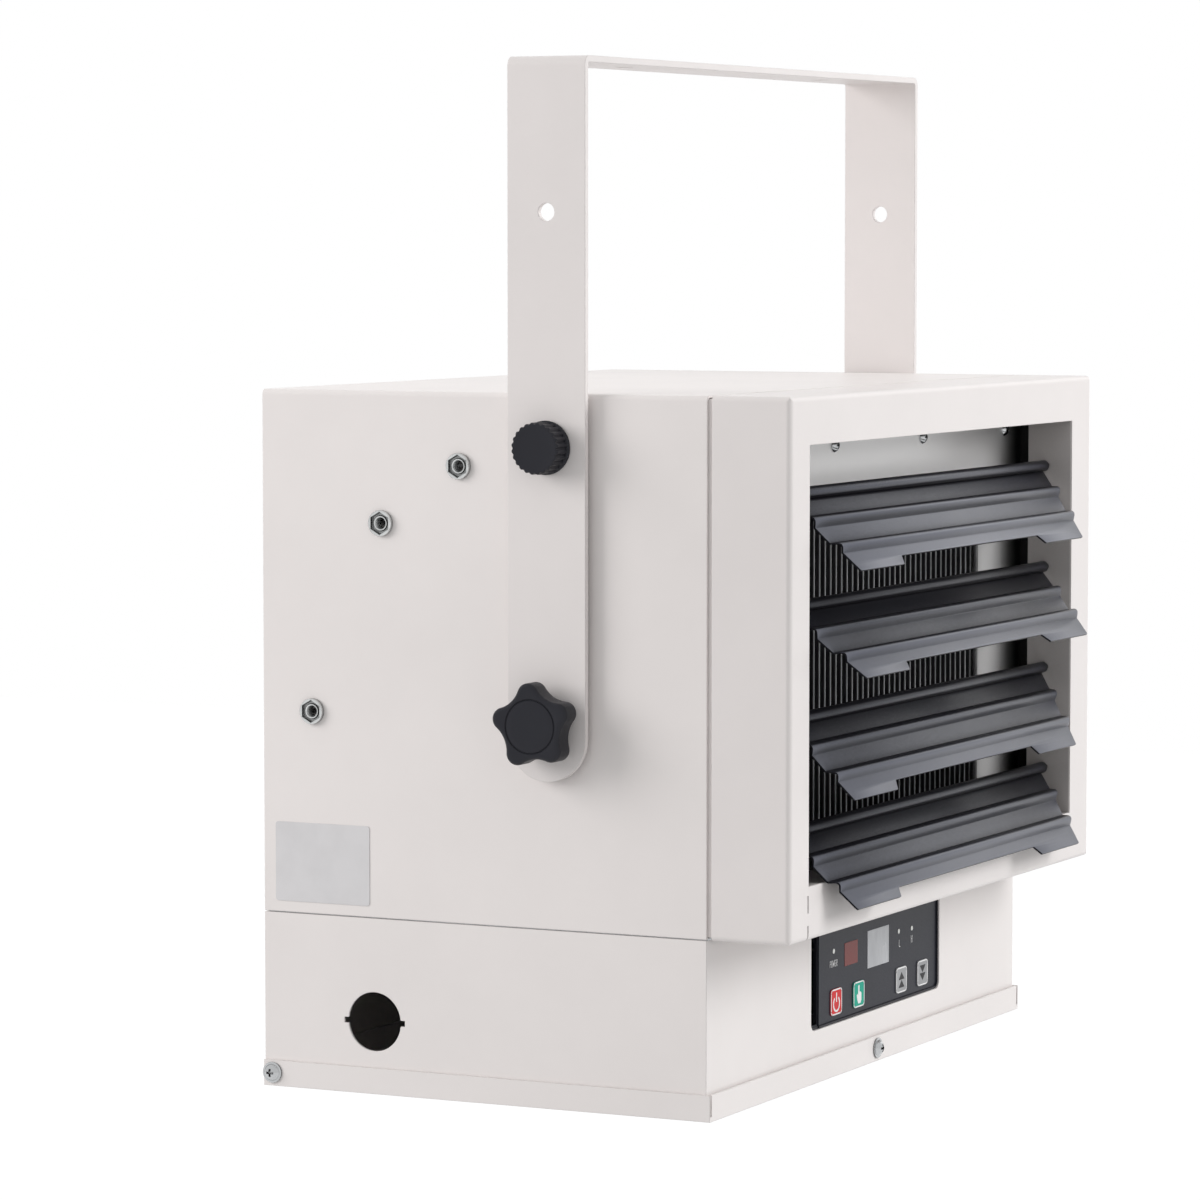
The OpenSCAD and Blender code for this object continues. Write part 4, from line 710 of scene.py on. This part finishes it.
def lock_knob(name, side, body, node):
    """A round foot, a fluted grip with a rounded rim and a slightly dished cap."""
    r, t = LOCK_KNOB_R, LOCK_KNOB_T
    rings = [knurl_ring(LOCK_BORE, 0, BORE_DEPTH), knurl_ring(LOCK_BORE, 0, 0), knurl_ring(12.2, 0, 0),
             knurl_ring(12.55, 0, 0.4), knurl_ring(12.55, 0, 1.2), knurl_ring(12.3, 0, 1.6),
             knurl_ring(r, FLUTE, 1.9), knurl_ring(r, FLUTE, t - 1.6)]
    for i in range(6):
        a = radians(90.0 * i / 5)
        rings.append(knurl_ring(r - 1.1 * (1 - cos(a)), FLUTE * (1 - i / 6.0), t - 1.1 * (1 - sin(a))))
    for rr, z in ((10.4, t - 0.03), (9.8, t - 0.16), (6.0, t - 0.2), (1.5, t - 0.22)):
        rings.append(knurl_ring(rr, 0, z))
    place = on_side(side, STRAP_FACE + KNOB_GAP, LOCK_Z)
    verts = [place(p) for ring in rings for p in ring]
    faces = rings_to_faces(len(rings), KNURL_POINTS)
    piece(name, verts, faces, "black_plastic", body, [node], 40.0)


lock_knob("lock_grip_left", -1, "lock_left", "lock_knob_left")
lock_knob("lock_grip_right", 1, "lock_right", "lock_knob_right")

# ---------------------------------------------------------------------------
# Lock nuts: round flange, six-sided recess and a threaded sleeve in its middle
# ---------------------------------------------------------------------------
LOCK_ANGLES = (0.0, 22.5, 45.0, 90.0)
NUT_POINTS = 72
NUT_BORE, THREAD_DEPTH, THREAD_STEP = 2.55, 0.28, 0.35
CASING_HALF = 190.0


def nut_ring(r, h, across=0.0):
    """A circle of radius r, or a hexagon that is `across` wide over its flats."""
    pts = []
    for i in range(NUT_POINTS):
        a = 2 * pi * i / NUT_POINTS
        turn = (a + radians(30.0)) % radians(60.0) - radians(30.0)
        rr = across / 2 / cos(turn) if across else r
        pts.append((rr * cos(a), rr * sin(a), h))
    return pts


def nut_rings():
    """From the sleeve's foot over the flange and the recess to the thread; r and height."""
    rings = [nut_ring(r, h) for r, h in ((NUT_BORE, -10.0), (4.25, -10.0), (4.25, 0.05), (6.0, 0.05),
                                         (6.2, 0.25), (6.2, 1.5))]
    for i in range(1, 6):
        a = radians(90.0 * i / 5)
        rings.append(nut_ring(6.2 - 0.6 * (1 - cos(a)), 1.5 + 0.88 * sin(a)))
    rings += [nut_ring(0, h, across) for h, across in ((2.34, 9.9), (2.2, 9.5), (2.0, 9.3),
                                                       (0.5, 9.2), (0.36, 8.9))]
    rings += [nut_ring(r, h) for r, h in ((3.75, 0.36), (3.62, 0.5), (3.58, 1.0), (3.45, 1.2),
                                          (3.2, 1.28), (2.95, 1.2), (2.72, 0.9))]
    for i in range(12):
        rings.append(nut_ring(NUT_BORE + (0.0 if i % 2 else THREAD_DEPTH), 0.6 - i * THREAD_STEP))
    return rings


def lock_nuts():
    """The nuts of both side plates, on one circle round the pivot."""
    verts, faces = [], []
    rings = nut_rings()
    loops = rings_to_faces(len(rings), NUT_POINTS, loop=True)
    for side in (-1, 1):
        for a in LOCK_ANGLES:
            y = LOCK_R * sin(radians(a)) - ORIGIN.y
            z = LOCK_R * cos(radians(a)) + PIVOT_Z - ORIGIN.z
            base = len(verts)
            verts += [at(side * (CASING_HALF + h), y + py, z + pz)
                      for ring in rings for py, pz, h in ring]
            faces += [tuple(base + v for v in f) for f in loops]
    piece("lock_nut_set", verts, faces, "bright_zinc", "heater", ["lock_nuts"], 35.0)


lock_nuts()

# ---------------------------------------------------------------------------
# Printed marks on the control panel
# ---------------------------------------------------------------------------
PANEL_X, PANEL_W = 9.1, 160.6
PANEL_X0, PANEL_Z0 = PANEL_X - PANEL_W / 2, -59.0
KEY_XS = (32.25, 59.85, 113.45, 140.75)
KEY_Z = PANEL_Z0 + 10.3
KEY_W, KEY_H = 13.4, 12.8
LINE_INSET, LINE_R, LINE_W = 0.4, 1.7, 0.7
OVERLAY_FACE = 2.5
KEY_FACE = 2.0
INK, INK_FOOT = 0.04, 0.02
WORD_LINE, LETTER_GAP = 0.42, 0.9


def ink(name, strips, x, y, z, mat, body):
    """Flat printed shapes: closed outlines in X and Z, laid just proud of the face at y."""
    verts, faces = [], []
    for pts in strips:
        n = len(pts)
        base = len(verts)
        verts += [at(x + px, y - INK, z + pz) for px, pz in pts]
        verts += [at(x + px, y + INK_FOOT, z + pz) for px, pz in pts]
        faces.append(tuple(range(base, base + n)))
        for i in range(n):
            j = (i + 1) % n
            faces.append((base + j, base + i, base + n + i, base + n + j))
    piece(name, verts, faces, mat, body, smooth=False)


def bar(x0, z0, x1, z1, w):
    """A stroke from one point to another with square ends."""
    d = Vector((x1 - x0, z1 - z0)).normalized() * (w / 2)
    n = Vector((-d.y, d.x))
    return [(x0 - d.x - n.x, z0 - d.y - n.y), (x1 + d.x - n.x, z1 + d.y - n.y),
            (x1 + d.x + n.x, z1 + d.y + n.y), (x0 - d.x + n.x, z0 - d.y + n.y)]


def arc_strokes(cx, cz, r, a0, a1, w, steps=14):
    """An arc of width w as short four-cornered strokes, from a0 to a1 degrees."""
    out = []
    near, far = r - w / 2, r + w / 2
    for i in range(steps):
        a, b = (radians(a0 + (a1 - a0) * (i + d) / steps) for d in (0, 1))
        corners = ((near, a), (near, b), (far, b), (far, a))
        out.append([(cx + rr * cos(t), cz + rr * sin(t)) for rr, t in corners])
    return out


def frame_strokes(w, h, r, t):
    """A rounded rectangular line, centred on the key."""
    x, z = w / 2, h / 2
    out = [bar(-x + r, z, x - r, z, t), bar(-x + r, -z, x - r, -z, t),
           bar(-x, -z + r, -x, z - r, t), bar(x, -z + r, x, z - r, t)]
    centres = ((x - r, z - r), (-x + r, z - r), (-x + r, -z + r), (x - r, -z + r))
    for quarter, (cx, cz) in enumerate(centres):
        out += arc_strokes(cx, cz, r, 90 * quarter, 90 * (quarter + 1), t, 6)
    return out


power_mark = arc_strokes(0.0, -1.0, 3.6, 128.0, 412.0, 1.05, 22) + [bar(0.0, 0.4, 0.0, 4.0, 1.05)]
hand_mark = [[(-2.9, -0.4), (-2.0, 0.4), (-1.1, -0.5), (-1.1, 4.2), (-0.1, 4.6), (0.5, 4.1), (0.5, 1.2),
              (1.7, 1.1), (2.9, 0.4), (2.9, -3.0), (1.9, -4.6), (-1.0, -4.6), (-2.1, -2.6)]]
up_mark = [[(-3.7, 0.1), (0.0, 3.9), (3.7, 0.1)], [(-3.7, -3.9), (0.0, -0.1), (3.7, -3.9)]]
down_mark = [[(x, -z) for x, z in tri] for tri in up_mark]
KEYS = (("power", power_mark, "print_white"), ("manual", hand_mark, "print_white"),
        ("up", up_mark, "print_dark"), ("down", down_mark, "print_dark"))
for key_x, (key, mark, tone) in zip(KEY_XS, KEYS):
    kx = PANEL_X0 + key_x
    ink(f"{key}_mark", mark, kx, KEY_FACE, KEY_Z, tone, f"{key}_key")
    line = frame_strokes(KEY_W - 2 * LINE_INSET, KEY_H - 2 * LINE_INSET, LINE_R, LINE_W)
    ink(f"{key}_outline", line, kx, KEY_FACE, KEY_Z, "print_white", f"{key}_key")

# strokes of each letter, four units high
GLYPHS = {
    "P": [(0, 0, 0, 4), (0, 4, 1.6, 4), (1.6, 4, 1.6, 2), (1.6, 2, 0, 2)],
    "O": [(0, 0, 0, 4), (0, 4, 1.7, 4), (1.7, 4, 1.7, 0), (1.7, 0, 0, 0)],
    "W": [(0, 4, 0.5, 0), (0.5, 0, 1.1, 2.6), (1.1, 2.6, 1.7, 0), (1.7, 0, 2.2, 4)],
    "E": [(0, 0, 0, 4), (0, 4, 1.5, 4), (0, 2, 1.2, 2), (0, 0, 1.5, 0)],
    "R": [(0, 0, 0, 4), (0, 4, 1.6, 4), (1.6, 4, 1.6, 2), (1.6, 2, 0, 2), (0.6, 2, 1.7, 0)],
    "L": [(0, 0, 0, 4), (0, 0, 1.6, 0)],
    "H": [(0, 0, 0, 4), (1.7, 0, 1.7, 4), (0, 2, 1.7, 2)],
}


def words(name, text, x, z, size):
    """A generic word on the overlay, centred at x and z on the panel."""
    strips, cursor = [], 0.0
    for ch in text:
        strips += [bar((cursor + a) * size, b * size, (cursor + c) * size, d * size, WORD_LINE * size)
                   for a, b, c, d in GLYPHS[ch]]
        cursor += max(max(a, c) for a, b, c, d in GLYPHS[ch]) + LETTER_GAP
    width = (cursor - LETTER_GAP) * size
    strips = [[(px - width / 2, pz - 2 * size) for px, pz in st] for st in strips]
    ink(name, strips, PANEL_X0 + x, OVERLAY_FACE, PANEL_Z0 + z, "print_white", "heater")


words("power_word", "POWER", 29.75, 29.2, 0.72)
words("low_letter", "L", 111.95, 28.8, 0.82)
words("high_letter", "H", 127.45, 29.1, 0.82)

# ---------------------------------------------------------------------------
# Floor, lights and world
# ---------------------------------------------------------------------------
FLOOR_Z = -3.6
# how bright the floor shines, and the share of it that hides its shadows from the camera
FLOOR_GLOW, FLOOR_CLEAR = 1.15, 0.82
AMBIENT = 0.575
bpy.ops.mesh.primitive_plane_add(size=60.0, location=(0, 0, FLOOR_Z))
floor = bpy.context.active_object
floor.name = "floor"
fm = Mat("mat_floor")
fm.set(Roughness=0.7)
fm.colour(fm.ramp(fm.noise(0.8, 3.0, 0.5), [(0.3, (0.84, 0.84, 0.84)), (0.7, (0.88, 0.88, 0.88))]))
path = fm.n("ShaderNodeLightPath").outputs
emit = fm.n("ShaderNodeEmission")
emit.inputs["Color"].default_value = (1, 1, 1, 1)
emit.inputs["Strength"].default_value = FLOOR_GLOW
seen = fm.math('MULTIPLY', path["Is Camera Ray"], FLOOR_CLEAR)
mirrored = fm.math('MAXIMUM', path["Is Glossy Ray"], path["Is Transmission Ray"])
blend = fm.n("ShaderNodeMixShader")
fm.link(fm.math('MAXIMUM', seen, mirrored), blend.inputs["Fac"])
fm.link(fm.b.outputs["BSDF"], blend.inputs[1])
fm.link(emit.outputs["Emission"], blend.inputs[2])
fm.link(blend.outputs["Shader"], fm.out.inputs["Surface"])
floor.data.materials.append(fm.m)

world = bpy.data.worlds.new("world")
scene.world = world
world.use_nodes = True
wt = world.node_tree
plain = wt.nodes["Background"]
plain.inputs["Color"].default_value = (1.0, 1.0, 1.0, 1.0)
plain.inputs["Strength"].default_value = AMBIENT
white = wt.nodes.new("ShaderNodeBackground")
white.inputs["Color"].default_value = (1.0, 1.0, 1.0, 1.0)
white.inputs["Strength"].default_value = 1.0
rays = wt.nodes.new("ShaderNodeLightPath").outputs
direct = rays["Is Camera Ray"]
for ray in ("Is Glossy Ray", "Is Transmission Ray"):
    either = wt.nodes.new("ShaderNodeMath")
    either.operation = 'MAXIMUM'
    wt.links.new(direct, either.inputs[0])
    wt.links.new(rays[ray], either.inputs[1])
    direct = either.outputs[0]
sky = wt.nodes.new("ShaderNodeMixShader")
wt.links.new(direct, sky.inputs["Fac"])
wt.links.new(plain.outputs["Background"], sky.inputs[1])
wt.links.new(white.outputs["Background"], sky.inputs[2])
wt.links.new(sky.outputs["Shader"], wt.nodes["World Output"].inputs["Surface"])

CENTRE = Vector((0.0, 0.0, -0.30))


def area(name, where, size, watts, tint=(1.0, 1.0, 1.0), mirrored=False):
    """A square lamp that faces the heater; the coat shows its reflection only if mirrored."""
    light = bpy.data.lights.new(name, 'AREA')
    light.shape = 'RECTANGLE'
    light.size = light.size_y = size
    light.energy = watts
    light.color = tint
    o = bpy.data.objects.new(name, light)
    o.location = where
    o.rotation_euler = (CENTRE - Vector(where)).to_track_quat('-Z', 'Y').to_euler()
    o.visible_glossy = mirrored
    scene.collection.objects.link(o)


# the strong lamps don't mirror in the coat, which would turn its flat faces white
area("key_light", (1.1, -2.7, 1.1), 1.7, 53.5)
area("side_light", (-1.15, 1.5, 0.35), 1.1, 20.5, (1.0, 0.975, 0.97))
area("sheen_light", (2.5, -0.9, 0.9), 1.2, 3.4, mirrored=True)
area("rear_light", (1.5, 3.0, 0.8), 2.0, 14.0)
